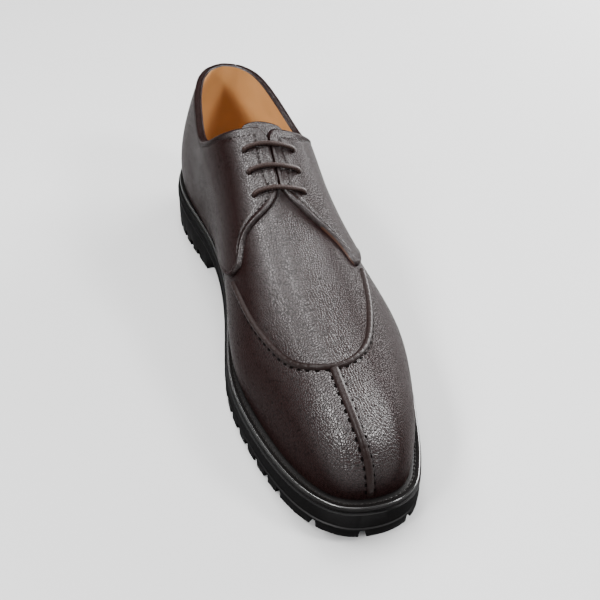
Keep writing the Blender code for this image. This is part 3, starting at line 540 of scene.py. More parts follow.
    def topline_share(self, row, side):
        """Share at which a section is cut by the collar or by the throat's gap."""
        share = np.zeros(len(row))
        fine = np.linspace(1, 0, 501)
        for n, at in enumerate(row):
            section = self.spot(np.full(fine.shape, at), fine, side)
            aside = section[:, 0] - section[-1, 0]
            level = section[:, 2] + aside * np.interp(at, self.row, self.tilt)
            over = level - smooth_table(TOPLINE, -section[:, 1])
            above = np.nonzero(over > 0)[0]
            if len(above) and above[0] > 0:
                i = above[0]
                share[n] = fine[i - 1] + (fine[i] - fine[i - 1]) * over[i - 1] / (over[i - 1] - over[i])
        station = self.station_at(row)
        share = np.where(station > TOPLINE[-1][0], 0.0, share)
        before_corner = np.clip(FACING_CORNER_STATION - station, 0, FACING_CORNER_REACH)
        flare = before_corner ** 2 / (2 * FACING_CORNER_RADIUS)
        half_gap = np.where(station < THROAT_STATION - THROAT_STEP / 2, THROAT_HALF_GAP + flare, 0.0)
        return np.maximum(share, half_gap / self.girth_at(row, side))

    def even_rows(self, spacing, start=0.0, end=TOE_TIP, extra=()):
        """Rows spaced by the longest of several lines along the surface."""
        steps = [np.linalg.norm(np.diff(self.surface[side][:, j], axis=0), axis=1)
                 for side in SIDES for j in (self.SHARES // 2, 3 * self.SHARES // 4, self.SHARES - 1)]
        length = np.r_[0.0, np.cumsum(np.max(steps, axis=0))]
        first, final = np.interp(self.row_at([start, end]), self.row, length)
        count = max(2, int(round((final - first) / spacing)) + 1)
        rows = np.interp(np.linspace(first, final, count), length, self.row)
        return np.unique(np.r_[rows, self.row_at(np.array(extra, float))])


class Solid:
    """Collects grids of points and the faces between them, with a material number each."""

    def __init__(self):
        self.points = []
        self.faces = []
        self.slots = []
        self.count = 0

    def add(self, grid):
        """Keep a block of points and return their numbers."""
        grid = np.asarray(grid, float)
        flat = grid.reshape(-1, 3)
        numbers = np.arange(self.count, self.count + len(flat)).reshape(grid.shape[:-1])
        self.points.append(flat)
        self.count += len(flat)
        return numbers

    def skin(self, numbers, slot=0):
        """Quads between neighbouring points of a grid of numbers."""
        corners = (numbers[:-1, :-1], numbers[1:, :-1], numbers[1:, 1:], numbers[:-1, 1:])
        quads = np.stack(corners, axis=-1).reshape(-1, 4).tolist()
        self.faces += quads
        self.slots += [slot] * len(quads)

    def ring(self, numbers):
        """Quads between loops: each row of numbers is one closed loop."""
        self.skin(np.concatenate([numbers, numbers[:, :1]], axis=1))

    def loft(self, sections):
        """Closed body through loops."""
        numbers = self.add(sections)
        self.ring(numbers)
        self.faces += [numbers[0].tolist(), numbers[-1].tolist()]
        self.slots += [0, 0]

    def sheet(self, outer, inner, slots=(0, 0)):
        """Closed body between two grids of points."""
        both = [self.add(outer), self.add(inner)]
        for numbers, slot in zip(both, slots):
            self.skin(numbers, slot)
        for edge in (np.s_[0, :], np.s_[-1, :], np.s_[:, 0], np.s_[:, -1]):
            self.skin(np.stack([both[0][edge], both[1][edge]]), slots[0])
        return both

    def paint(self, numbers, slot):
        """Another material for the faces whose points all lie in a block."""
        block = set(np.ravel(numbers).tolist())
        self.slots = [slot if block.issuperset(face) else old for face, old in zip(self.faces, self.slots)]


def placed(name, data):
    """An object in the scene."""
    thing = bpy.data.objects.new(name, data)
    bpy.context.scene.collection.objects.link(thing)
    return thing


def make(name, solid, materials, sharp_degrees=SHARP_ANGLE):
    """A mesh object from a solid."""
    points = (np.vstack(solid.points) - CENTRE) * MM
    mesh = bpy.data.meshes.new(name)
    mesh.from_pydata(points.tolist(), [], solid.faces)
    mesh.polygons.foreach_set("material_index", solid.slots)
    edit = bmesh.new()
    edit.from_mesh(mesh)
    bmesh.ops.remove_doubles(edit, verts=edit.verts, dist=1e-6)
    bmesh.ops.dissolve_degenerate(edit, edges=edit.edges, dist=1e-7)
    bmesh.ops.recalc_face_normals(edit, faces=edit.faces)
    edit.to_mesh(mesh)
    edit.free()
    mesh.shade_smooth()
    mesh.set_sharp_from_angle(angle=np.radians(sharp_degrees))
    for material in materials:
        mesh.materials.append(material)
    return placed(name, mesh)


def applied(thing):
    """The object with its modifiers made part of its mesh."""
    graph = bpy.context.evaluated_depsgraph_get()
    mesh = bpy.data.meshes.new_from_object(thing.evaluated_get(graph))
    thing.modifiers.clear()
    thing.data = mesh
    mesh.shade_smooth()
    mesh.set_sharp_from_angle(angle=np.radians(SHARP_ANGLE))
    return thing


def combine(thing, solid, operation):
    """Boolean with another solid, applied at once."""
    other = make(thing.name + "_tool", solid, ())
    step = thing.modifiers.new("combine", "BOOLEAN")
    step.operation = operation
    step.solver = "EXACT"
    step.object = other
    applied(thing)
    bpy.data.objects.remove(other)


def finish_piece(thing, slot, *nodes):
    """Put a piece on the shoe's body, in place of the solids that it stands for."""
    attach(thing, "root")
    if nodes:
        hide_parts(*nodes)


class Shader:
    """Short way to build a material's nodes around one Principled shader."""

    def __init__(self, name, **sockets):
        self.material = bpy.data.materials.new(name)
        self.material.use_nodes = True
        self.tree = self.material.node_tree
        self.main = self.tree.nodes["Principled BSDF"]
        self.place = self.node("ShaderNodeTexCoord").outputs["Object"]
        self.set(**sockets)

    def node(self, kind, inputs=(), **settings):
        """A node with settings, and inputs by number or name."""
        made = self.tree.nodes.new(kind)
        for key, value in settings.items():
            setattr(made, key, value)
        self.join(made, dict(inputs))
        return made

    def join(self, made, inputs):
        """Link or set inputs."""
        for key, value in inputs.items():
            if isinstance(value, bpy.types.NodeSocket):
                self.tree.links.new(value, made.inputs[key])
            else:
                made.inputs[key].default_value = value

    def set(self, **sockets):
        """The shader's sockets by name, with underscores for spaces."""
        self.join(self.main, {key.replace("_", " "): value for key, value in sockets.items()})

    def noise(self, scale, detail=3.0):
        """Noise value."""
        made = self.node("ShaderNodeTexNoise", {"Vector": self.place, "Scale": scale, "Detail": detail})
        return made.outputs["Fac"]

    def vector(self, operation, inputs):
        """Arithmetic on vectors."""
        return self.node("ShaderNodeVectorMath", inputs, operation=operation).outputs["Vector"]

    def warped(self, scale, amount):
        """The place pushed about by noise, in metres."""
        made = self.node("ShaderNodeTexNoise", {"Vector": self.place, "Scale": scale, "Detail": 2.0})
        centred = self.vector("SUBTRACT", {0: made.outputs["Color"], 1: (0.5, 0.5, 0.5)})
        scaled = self.vector("SCALE", {0: centred, "Scale": amount})
        return self.vector("ADD", {0: self.place, 1: scaled})

    def cells(self, scale, vector, soft):
        """Rounded cells: 0 in the creases, 1 on the tops."""
        made = self.node("ShaderNodeTexVoronoi", {"Vector": vector, "Scale": scale, "Randomness": 0.8},
                         feature="DISTANCE_TO_EDGE")
        slope = self.spread(made.outputs["Distance"], 0.0, soft, 1.0, 0.0)
        return self.math("SUBTRACT", 1.0, self.math("POWER", slope, 2.0))

    def wave(self, direction, scale):
        """Stripes across a direction."""
        turned = self.node("ShaderNodeVectorMath", {0: self.place, 1: direction}, operation="DOT_PRODUCT")
        angle = self.math("MULTIPLY", turned.outputs["Value"], scale)
        return self.math("MULTIPLY_ADD", self.math("SINE", angle), 0.5, 0.5)

    def spread(self, value, low, high, to_low, to_high, mode="LINEAR"):
        """Map a range."""
        made = self.node("ShaderNodeMapRange", {0: value, 1: low, 2: high, 3: to_low, 4: to_high},
                         interpolation_type=mode)
        return made.outputs[0]

    def math(self, operation, *values):
        """Arithmetic on values."""
        return self.node("ShaderNodeMath", dict(enumerate(values)), operation=operation).outputs[0]

    def mix(self, factor, first, second):
        """Colour between two."""
        made = self.node("ShaderNodeMix", {"Factor": factor, 6: (*first, 1.0), 7: (*second, 1.0)},
                         data_type="RGBA")
        return made.outputs[2]

    def gloss(self, level, tops=None):
        """Worn wax: shiny face on and on the tops of the grain, dull at grazing angles."""
        facing = self.node("ShaderNodeLayerWeight", {"Blend": 0.5}).outputs["Facing"]
        shine = self.spread(facing, *GLOSS_FADE, level, GLOSS_LEFT * level, "SMOOTHSTEP")
        self.set(Specular_IOR_Level=shine if tops is None else self.math("MULTIPLY", shine, tops))

    def bump(self, height, strength, distance):
        """Relief on the surface, distance in metres."""
        made = self.node("ShaderNodeBump", {"Height": height, "Strength": strength, "Distance": distance})
        self.set(Normal=made.outputs["Normal"])


def pebble_leather(name, deep, high):
    """Pebble-grain leather: rounded cells, painted shade darkening the creases, uneven polish."""
    look = Shader(name)
    pebbles = look.cells(770.0, look.warped(400.0, 0.0004), 0.26)
    look.gloss(0.35, look.spread(pebbles, 0.2, 0.9, 0.6, 1.0))
    fine = look.noise(3200.0)
    patches = look.noise(24.0, 4.0)
    # Base colour: painted shade in the pebbles' creases (three quarters), mixed with random patches of tone
    # (one quarter)
    shade = look.math("ADD", look.math("MULTIPLY", pebbles, 0.75), look.math("MULTIPLY", patches, 0.25))
    worn = look.math("MULTIPLY_ADD", pebbles, -0.14, look.spread(patches, 0.3, 0.7, 0.43, 0.49))
    look.set(Base_Color=look.mix(shade, deep, high), Roughness=worn)
    look.bump(look.math("MULTIPLY_ADD", fine, 0.08, pebbles), 0.8, 0.00017)
    return look.material


def smooth_surface(name, kind, deep, high, roughness, specular):
    """Leather or rubber without pebbles: patches of colour and polish over a fine grain."""
    patch_scale, uneven, grain_scale, relief = SMOOTH_KINDS[kind]
    look = Shader(name)
    if kind == "rubber":
        look.gloss(specular)
    else:
        look.set(Specular_IOR_Level=specular)
    patches = look.noise(patch_scale, 5.0)
    worn = look.spread(patches, 0.3, 0.7, roughness - uneven, roughness + uneven)
    look.set(Base_Color=look.mix(patches, deep, high), Roughness=worn)
    look.bump(look.noise(grain_scale, 4.0), relief, 0.00012)
    return look.material


def cord(name, dark, light, scale):
    """Waxed braid: two sets of slanting strands."""
    look = Shader(name, Specular_IOR_Level=0.1)
    strands = look.math("MAXIMUM", look.wave((1.0, 0.9, 0.3), scale), look.wave((1.0, -0.9, -0.3), scale))
    look.set(Base_Color=look.mix(strands, dark, light), Roughness=look.spread(strands, 0.0, 1.0, 0.6, 0.42))
    look.bump(strands, 0.5, 0.0002)
    return look.material


def matt(name, scale, deep, high, specular):
    """Matt surface with faint patches."""
    look = Shader(name, Roughness=0.9, Specular_IOR_Level=specular)
    look.set(Base_Color=look.mix(look.noise(scale), deep, high))
    return look.material


def looks_of_shoe():
    """All the shoe's materials."""
    looks = {key: smooth_surface(*rest) for key, *rest in SMOOTH_LOOKS}
    looks.update({key: cord(*rest) for key, *rest in CORD_LOOKS})
    looks["leather"] = pebble_leather("brown_pebble_leather", *LEATHER_COLOURS)
    # Stitch holes: near-black, painted shade of the needle holes' insides
    looks["hole"] = matt("painted_stitch_hole_shade", 900.0, (0.0004, 0.0003, 0.0003), (0.0012, 0.0008, 0.0007), 0.02)
    return looks


def tube_loops(path, radius, sides, flat=1.0, up=None):
    """Loops of a tube along a row of points; flat squeezes it along the direction up."""
    heading = unit(np.gradient(path, axis=0))
    guide = np.roll(heading, 1, axis=1) if up is None else up
    aside = unit(np.cross(heading, guide))
    if up is None:
        for i in range(1, len(path)):
            aside[i] = unit(aside[i - 1] - heading[i] * np.dot(aside[i - 1], heading[i]))
    third = np.cross(aside, heading)
    angle = np.linspace(0, 2 * np.pi, sides, endpoint=False)[None, :, None]
    return path[:, None] + radius * (np.cos(angle) * aside[:, None] + flat * np.sin(angle) * third[:, None])


def stitches(solid, path, up, pitch, length, radius):
    """Sewn stitches along a row of points, each dipping at its ends."""
    run = chord_lengths(path)
    count = int(run[-1] / pitch)
    middle = (np.arange(count) + 0.5) * run[-1] / count
    t = np.linspace(-0.5, 0.5, 5)
    at = middle[:, None] + t * length
    spots = np.stack([np.interp(at, run, path[:, k]) for k in range(3)], axis=-1)
    rise = unit(np.stack([np.interp(at, run, up[:, k]) for k in range(3)], axis=-1))
    arch = np.cos(np.pi * t)
    spots = spots + rise * (radius * (arch - STITCH_END_SIZE))[None, :, None]
    size = STITCH_END_SIZE + (1 - STITCH_END_SIZE) * arch
    for spot, lift in zip(spots, rise):
        loops = tube_loops(spot, radius, 6, 1.0, lift)
        solid.loft(spot[:, None] + (loops - spot[:, None]) * size[:, None, None])


def hole(solid, spot, up, heading, size):
    """One stitch hole: a small near-black oval, painted shade standing in for the inside of the needle hole.
    """
    aside = unit(np.cross(up, heading))
    angle = np.linspace(0, 2 * np.pi, 10, endpoint=False)[:, None]
    oval = np.cos(angle) * heading * size[0] + np.sin(angle) * aside * size[1]
    solid.loft(np.array([spot + up * lift + share * oval for share, lift in HOLE_PROFILE]))


def distance_to(line, points):
    """Distance of points in a plane from a row of points."""
    start, step = line[:-1], np.diff(line, axis=0)
    size = np.maximum((step ** 2).sum(axis=1), 1e-9)
    flat = points.reshape(-1, 2)
    nearest = np.empty(len(flat))
    block = 1500
    for i in range(0, len(flat), block):
        away = flat[i:i + block, None] - start[None]
        t = np.clip((away * step).sum(axis=2) / size, 0, 1)
        gap = away - t[..., None] * step
        nearest[i:i + block] = np.sqrt((gap ** 2).sum(axis=2).min(axis=1))
    return nearest.reshape(points.shape[:-1])


def round_over(inside, radius):
    """Share of the full height at a distance inside a rounded edge."""
    return np.sqrt(np.clip(1 - (1 - np.clip(inside / radius, 0, 1)) ** 2, 0, 1))


def build_upper(last, looks):
    """Hollow shell with its lining; open below, at the collar and along the throat."""
    facing = np.r_[np.arange(*FACING_ROWS), THROAT_STATION - THROAT_STEP, THROAT_STATION]
    rows = last.even_rows(UPPER_SPACING, extra=facing)
    joined = int(np.searchsorted(last.station_at(rows), THROAT_STATION - THROAT_STEP / 4)) + 1
    steps = np.linspace(0, 1, UPPER_COLUMNS)
    solid = Solid()
    for side in SIDES:
        top = last.topline_share(rows, side)[:, None]
        share = top + (1 - top) * steps
        outer = last.spot(rows[:, None], share, side)
        inner = last.spot(rows[:, None], share, side, -UPPER_WALL)
        inner[:, -1, 2] = outer[:, -1, 2]
        rim = (outer[:, 0] + inner[:, 0]) / 2 + COLLAR_RIM * unit(outer[:, 0] - outer[:, 1])
        outer, inner, rim = [solid.add(points) for points in (outer, inner, rim)]
        solid.skin(outer)
        solid.skin(inner, 1)
        solid.skin(np.stack([outer[:, -1], inner[:, -1]]))
        solid.skin(np.stack([outer[:joined, 0], rim[:joined], inner[:joined, 0]]))
    upper = make("upper_shell", solid, (looks["leather"], looks["lining"]))
    combine(upper, eyelet_cutters(last), "DIFFERENCE")
    finish_piece(upper, "upper_leather", "upper")


def eyelet_cutters(last):
    """Round holes for the lace through the facings and the upper."""
    solid = Solid()
    angle = np.linspace(0, 2 * np.pi, 20, endpoint=False)[:, None]
    for station in LACE_STATIONS:
        for side in SIDES:
            centre, axis = last.across(last.row_at(station), side * EYELET_FROM_RIDGE)
            ahead = unit(np.cross(axis, [1.0, 0.0, 0.0]))
            circle = EYELET_RADIUS * (np.cos(angle) * ahead + np.sin(angle) * np.cross(axis, ahead))
            solid.loft(np.stack([centre + end * EYELET_DEPTH * axis + circle for end in (-1, 1)]))
    return solid


def quarter_edges(last, side):
    """A quarter's outline on the surface: rows, and its top and foot from the ridge."""
    start = STRAP_EDGE_ROW + STRAP_TO_QUARTER_ROW
    front = along(QUARTER_FRONT[side], OUTLINE_SAMPLES)
    back = np.linspace(start, last.row_at(front[0, 0]), COLLAR_SAMPLES)[:-1]
    top = last.topline_share(back, side) * last.girth_at(back, side)
    line = np.r_[np.c_[last.station_at(back), top], front]
    line[:, 0] = np.maximum.accumulate(line[:, 0])
    line = even(line, int(chord_lengths(line)[-1] / QUARTER_SPACING))
    line[:, 0] += np.linspace(0, STATION_DRIFT, len(line))
    rows = last.row_at(line[:, 0])
    girth = last.girth_at(rows, side)
    foot = along(QUARTER_FOOT[side], OUTLINE_SAMPLES)
    lower = np.where(line[:, 0] < foot[0, 0], girth, np.interp(line[:, 0], *foot.T))
    return rows, line, np.minimum(lower, girth - OVERLAY_FOOT), foot


def sewing_line(edge, turn, inset):
    """A line inside an edge on the surface, at even spacing."""
    inset = np.broadcast_to(inset, len(edge))
    edge = even(np.c_[edge, inset], int(chord_lengths(edge)[-1] / SEWING_SPACING))
    ahead = unit(np.gradient(edge[:, :2], axis=0))
    moved = edge[:, :2] + turn * edge[:, 2:] * np.c_[-ahead[:, 1], ahead[:, 0]]
    return even(moved[SEWING_KEPT], len(moved))


def build_quarter(last, looks, side):
    """Overlay with the facing: rounded, sewn edges over the upper."""
    rows, line, lower, foot = quarter_edges(last, side)
    span = (lower - line[:, 1])[:, None]
    shrink = np.minimum(1.0, span / QUARTER_FULL_SPAN)
    top_part = QUARTER_COLUMNS * shrink
    low_part = span - QUARTER_COLUMNS[:QUARTER_FOOT_COLUMNS][::-1] * shrink
    share = np.linspace(0, 1, QUARTER_MIDDLE_COLUMNS + 2)[1:-1]
    middle = top_part[:, -1:] + (low_part[:, :1] - top_part[:, -1:]) * share
    from_ridge = line[:, 1:] + np.concatenate([top_part, middle, low_part], axis=1)
    station = np.broadcast_to(line[:, :1], from_ridge.shape)
    places = np.stack([station, from_ridge], axis=-1)
    inside = distance_to(np.r_[line, foot[::-1]], places)
    rounded = round_over(inside, straight_table(QUARTER_ROUND, station))
    sewn = [sewing_line(line, 1.0, straight_table(STITCH_INSETS, line[:, 0])),
            sewing_line(foot[foot[:, 0] > FOOT_STITCH_FROM], -1.0, FOOT_STITCH_INSET)]
    sunk = STITCH_SINK * sum(np.exp(-(distance_to(path[::4], places) / STITCH_GROOVE) ** 2) for path in sewn)
    roll = EDGE_ROLL * np.exp(-((inside - EDGE_ROLL_INSET) / EDGE_ROLL_WIDTH) ** 2)
    lift = OVERLAY_RIM + (OVERLAY_TOP - OVERLAY_RIM) * rounded - sunk + roll
    outer, _ = last.across(rows[:, None], side * from_ridge, lift)
    inner, _ = last.across(rows[:, None], side * from_ridge, OVERLAY_SUNK)
    solid = Solid()
    numbers, _ = solid.sheet(outer, inner)
    if side == LATERAL:
        solid.paint(numbers[line[:, 0] > RAW_EDGE_FROM][:, :RAW_EDGE_COLUMNS], 1)
    name = SIDE_NAMES[side]
    quarter = make(f"quarter_{name}_leather", solid, (looks["leather"], looks["raw_edge"]), SOFT_ANGLE)
    combine(quarter, eyelet_cutters(last), "DIFFERENCE")
    finish_piece(quarter, "overlay_leather", f"quarter_{name}")

    sewing = Solid()
    for inset in sewn:
        path, up = last.across(last.row_at(inset[:, 0]), side * inset[:, 1], OVERLAY_TOP - STITCH_SINK)
        stitches(sewing, path, up, *STITCH)
    finish_piece(make(f"quarter_{name}_stitches", sewing, (looks["thread"],)), "lace_cord")


def build_back_strap(last, looks):
    """Overlay over the seam at the heel back."""
    rows = np.linspace(0, STRAP_EDGE_ROW, STRAP_ROWS)
    outer = []
    inner = []
    sewing = Solid()
    for side in SIDES:
        girth = last.girth_at(rows, side)[:, None]
        top = last.topline_share(rows, side)[:, None]
        at = top + (1 - OVERLAY_FOOT / girth - top) * STRAP_COLUMNS
        run = chord_lengths(last.spot(rows, STRAP_MIDDLE_SHARE, side))
        rounded = round_over(np.minimum((run[-1] - run)[:, None], (at - top) * girth), STRAP_ROUND)
        lift = OVERLAY_RIM + (OVERLAY_TOP + STRAP_ABOVE - OVERLAY_RIM) * rounded
        outer.append(last.spot(rows[:, None], at, side, lift))
        inner.append(last.spot(rows[:, None], at, side, OVERLAY_SUNK))

        row = np.full(120, STRAP_STITCH_ROW)
        start = last.topline_share(row[:1], side)[0] + STRAP_STITCH_START
        share = start + (1 - start) * np.linspace(STRAP_STITCH_END, 0.0, len(row))
        path = last.spot(row, share, side, OVERLAY_TOP)
        up = last.normal_at(row, share, side)
        stitches(sewing, path, up, *STITCH)
    solid = Solid()
    solid.sheet(*[np.concatenate([halves[0][:0:-1], halves[1]]) for halves in (outer, inner)])
    strap = make("back_strap_leather", solid, (looks["leather"],), SOFT_ANGLE)
    finish_piece(strap, "overlay_leather", "back_strap")
    finish_piece(make("back_strap_stitches", sewing, (looks["thread"],)), "lace_cord")


def build_tongue(last, looks):
    """Tongue under the facings, with a turned top edge."""
    top, foot = TONGUE_HALF_WIDTH[0][0], TONGUE_HALF_WIDTH[-1][0]
    below = np.linspace(TONGUE_TOP_STEPS[-1], foot - top, TONGUE_ROWS)
    station = top + np.r_[TONGUE_TOP_STEPS[:-1], below]
    rows = last.row_at(station)[:, None]
    half = straight_table(TONGUE_HALF_WIDTH, station)[:, None]
    from_ridge = half * np.linspace(-1, 1, TONGUE_COLUMNS)
    inside = np.minimum((station - station[0])[:, None] * TONGUE_TOP_SLOPE, half - np.abs(from_ridge))
    thinner = (TONGUE_WALL / 2) * (1 - round_over(inside, TONGUE_ROUND))
    outer, _ = last.across(rows, from_ridge, -TONGUE_UNDER - thinner)
    inner, _ = last.across(rows, from_ridge, -TONGUE_UNDER - TONGUE_WALL + thinner)
    solid = Solid()
    solid.sheet(outer, inner, (0, 1))
    tongue = make("tongue_leather", solid, (looks["leather"], looks["lining"]), SOFT_ANGLE)
    finish_piece(tongue, "upper_leather", "tongue")


def bead(solid, path, up, width, height, power):
    """Raised strip along a row of points on the surface."""
    aside = np.cross(up, unit(np.gradient(path, axis=0)))
    u = np.linspace(-1, 1, 11)
    lift = BEAD_SUNK + (height[:, None] - BEAD_SUNK) * (1 - u ** 2) ** power
    reach = u * width[:, None] / 2
    top = path[:, None] + aside[:, None] * reach[..., None] + up[:, None] * lift[..., None]
    foot = path[:, None] - up[:, None] * BEAD_ROOT
    solid.loft(np.concatenate([top, foot], axis=1))


def pinched(run, depth):
    """Share of a bead's height, lower at each stitch."""
    phase = (run / SEAM_PITCH) % 1.0
    return 1 - depth * np.exp(-((phase - 0.5) / PINCH_WIDTH) ** 2)


def hole_row(solid, path, up, away, offset, size, end=0.0):
    """Stitch holes beside a seam, on the side that away points to."""
    heading = unit(np.gradient(path, axis=0))
    aside = np.cross(up, heading)
    turn = np.sign((aside * away).sum(axis=1))
    spots = path + aside * (turn * offset)[:, None] + up * HOLE_LIFT
    run = chord_lengths(path)
    for at in np.arange(0.5 * SEAM_PITCH, run[-1] - end, SEAM_PITCH):
        i = int(np.searchsorted(run, at))
        hole(solid, spots[i], up[i], heading[i], size)


def build_seams(last, looks):
    """Raised apron seam and split seam with their stitch holes."""
    seams = Solid()
    holes = Solid()
    half = along(APRON, 600)
    medial, lateral = [half[half[:, 0] > APRON_END[side]] for side in SIDES]
    route = even(np.vstack([medial[:0:-1] * [1, -1], lateral]), 700)
    path, up = last.across(last.row_at(route[:, 0]), route[:, 1] + APRON_SHIFT)
    run = chord_lengths(path)
    width = np.full(len(run), APRON_WIDTH)
    bead(seams, path, up, width, SEAM_HEIGHT * pinched(run, APRON_PINCH), APRON_POWER)
    middle, _ = last.across(last.row_at(PLUG_MIDDLE), APRON_SHIFT)
    hole_row(holes, path, up, path - middle, width / 2 + APRON_HOLE_ASIDE, APRON_HOLE)

    rows = np.linspace(last.row_at(APRON[0][0] - SPLIT_UNDER_APRON), last.last_row - 0.01, 500)
    path, up = last.across(rows, 0.0)
    above = path[:, 2] > SPLIT_END_Z
    path, up = path[above], up[above]
    run = chord_lengths(path)
    share = run / run[-1]
    width = np.interp(share, (0, 1), SPLIT_WIDTHS)
    height = SEAM_HEIGHT * pinched(run, SPLIT_PINCH)
    for from_end, (reach, left) in zip((share, 1 - share), SPLIT_FADES):
        height = height * np.clip(from_end / reach, left, 1)
    bead(seams, path, up, width, height, SPLIT_POWER)
    for side in SIDES:
        away = (side, 0.0, 0.0)
        hole_row(holes, path, up, away, width / 2 + SPLIT_HOLE_ASIDE, SPLIT_HOLE[side], SPLIT_HOLES_END)
    finish_piece(make("apron_and_split_seams", seams, (looks["seam"],)), "upper_leather")
    # The holes are ovals laid on the surface, not cut; their dark colour is painted shade
    finish_piece(make("seam_stitch_holes", holes, (looks["hole"],)), "lace_cord")


def build_laces(last, looks):
    """One lace: three straight bars through the eyelets, joined under the facings."""
    over = OVERLAY_TOP + LACE_CLEARANCE + LACE_RADIUS
    # Distance outside the eyelet, height above the upper
    turn = ((0.15, -2.0), (0.15, 0.0), (0.1, 1.6), (-0.3, over - 0.75), (-1.1, over - 0.2), (-2.4, over))
    half = [(EYELET_FROM_RIDGE + aside, lift) for aside, lift in turn]
    half += [(share * EYELET_FROM_RIDGE, over) for share in (0.7, 0.5, 0.3, 0.15, 0.0)]
    route = np.array(half + [(-aside, lift) for aside, lift in half[-2::-1]])
    fine = along(route, 110)
    solid = Solid()
    for station in LACE_STATIONS:
        path, _ = last.across(last.row_at(station), fine[:, 0], fine[:, 1])
        solid.loft(tube_loops(path, LACE_RADIUS, 16))
    for side in SIDES:
        station = np.linspace(LACE_STATIONS[0], LACE_STATIONS[-1], 40)
        path, up = last.across(last.row_at(station), side * EYELET_FROM_RIDGE, LACE_UNDER)
        solid.loft(tube_loops(path, LACE_RADIUS, 12, LACE_FLAT, up))
    lace = make("lace", solid, (looks["lace"],))
    finish_piece(lace, "lace_cord", "lace_bar_1", "lace_bar_2", "lace_bar_3")


def edge_line(last, rows, side, outside, height):
    """An outline at the heights that a function gives for its stations."""
    plan = last.outline(rows, side, outside)
    return np.c_[plan, height(-plan[:, 1])]


def edge_loop(last, rows, outside, height):
    """The outline all round, as one closed loop."""
    halves = [edge_line(last, rows, side, outside, height) for side in SIDES]
    return np.vstack([halves[0], halves[1][-2:0:-1]])


def build_welt(last, looks):
    """Welt with a stitch groove and rounded edge, and its stitches."""
    rows = last.even_rows(EDGE_SPACING)
    low = GAP + WELT_THICKNESS
    groove = WELT_STITCH_OUTSIDE
    # Distance outside the feather line, depth below it
    section = ((WELT_INSIDE, GAP), (0.0, GAP), (groove - 0.9, GAP), (groove - 0.5, GAP + 0.25),
               (groove, GAP + 0.38), (groove + 0.5, GAP + 0.25), (groove + 0.9, GAP), (4.1, GAP),
               (4.35, GAP - 0.12), (4.6, GAP - 0.1), (4.85, GAP + 0.08), (5.0, GAP + 0.4),
               (5.0, low - 0.7), (4.8, low - 0.2), (4.3, low), (WELT_INSIDE, low))
    loops = [edge_loop(last, rows, outside, lambda at: last.feather_z(at) - drop)
             for outside, drop in section]
    solid = Solid()
    numbers = solid.add(np.stack(loops))
    solid.ring(np.concatenate([numbers, numbers[:1]]))
    solid.paint(numbers[WELT_LIP[0]:WELT_LIP[1]], 1)
    welt = make("welt_strip", solid, (looks["welt"], looks["lip"]), SOFT_ANGLE)
    finish_piece(welt, "welt_black", "welt")
    path = edge_loop(last, rows, groove, lambda at: last.feather_z(at) - GAP - WELT_STITCH_SINK)
    path = np.vstack([path, path[:1]])
    sewing = Solid()
    up = np.tile([0.0, 0.0, 1.0], (len(path), 1))
    stitches(sewing, path, up, *WELT_STITCH)
    finish_piece(make("welt_stitches", sewing, (looks["welt_thread"],)), "lace_cord")


def tread(name, station):
    """One column of the TREAD table."""
    column = TREAD_COLUMNS.index(name)
    return straight_table([(row[0], row[column]) for row in TREAD], station)


def stack(last, rows, levels):
    """Solid between outlines.  levels: (distance outside, height function), upward."""
    solid = Solid()
    sides = {}
    for side in SIDES:
        layers = [edge_line(last, rows, side, outside, height) for outside, height in levels]
        sides[side] = solid.add(np.stack(layers, axis=1))
        solid.skin(sides[side])
    for level in (0, -1):
        solid.skin(np.stack([sides[MEDIAL][:, level], sides[LATERAL][:, level]], axis=1))
    for end in (0, -1):
        solid.skin(np.stack([sides[MEDIAL][end], sides[LATERAL][end]], axis=1))
    return solid


def notches(last, places, top_height):
    """Groove cutters across the lug line, wider at the floor.  places: (side, row)."""
    solid = Solid()
    reach = ((NOTCH_INSIDE, -0.5), (NOTCH_OUTSIDE, -0.5), (NOTCH_OUTSIDE, 0.5), (NOTCH_INSIDE, 0.5))
    for side, row in places:
        middle = last.outline(row, side, 0.0)
        outward = unit(last.outline(row, side, 1.0) - middle)
        aside = np.array([-outward[1], outward[0]])
        loops = []
        top = top_height(last.station_at(row))
        for width, z in ((NOTCH_WIDTH_BOTTOM, NOTCH_BELOW_FLOOR), (NOTCH_WIDTH_TOP, top)):
            plan = [middle + outward * out + aside * width * part for out, part in reach]
            loops.append([(*spot, z) for spot in plan])
        solid.loft(np.array(loops))
    return solid


def lug_places(last, spaced, start, end, aside=0.0):
    """Sides and rows of notches by length along the outline from one end, moved to the medial side."""
    places = []
    for side in SIDES:
        length = chord_lengths(last.outline(last.row, side, LUG_OUTSIDE))
        length = length if start < end else length[-1] - length
        order = np.argsort(length)
        limit = np.interp(last.row_at(end), last.row, length)
        for at in spaced:
            if at < limit and (at > 0 or side == MEDIAL):
                places.append((side, float(np.interp(at - side * aside, length[order], last.row[order]))))
    return places


def centre_lugs(last):
    """Cross bars left standing in the middle of the forepart."""
    solid = Solid()
    left, right = [last.ridge[0, 0] + side * CENTRE_LUG_WIDTH / 2 for side in SIDES]
    for station in CENTRE_LUG_STATIONS:
        back, front = station - CENTRE_LUG_LENGTH / 2, station + CENTRE_LUG_LENGTH / 2
        plan = ((left, back), (right, back), (right, front), (left, front))
        loops = [[(x, -at, float(tread("bottom_z", at)) + rise) for x, at in plan]
                 for rise in (0.0, TREAD_DEPTH + CENTRE_LUG_INTO_SOLE)]
        solid.loft(np.array(loops))
    return solid


def soften(thing):
    """Rounded edges on a moulded piece."""
    step = thing.modifiers.new("edges", "BEVEL")
    step.width = MOULDED_EDGE * MM
    step.segments = 2
    step.limit_method = "ANGLE"
    step.angle_limit = np.radians(SHARP_ANGLE)
    return applied(thing)


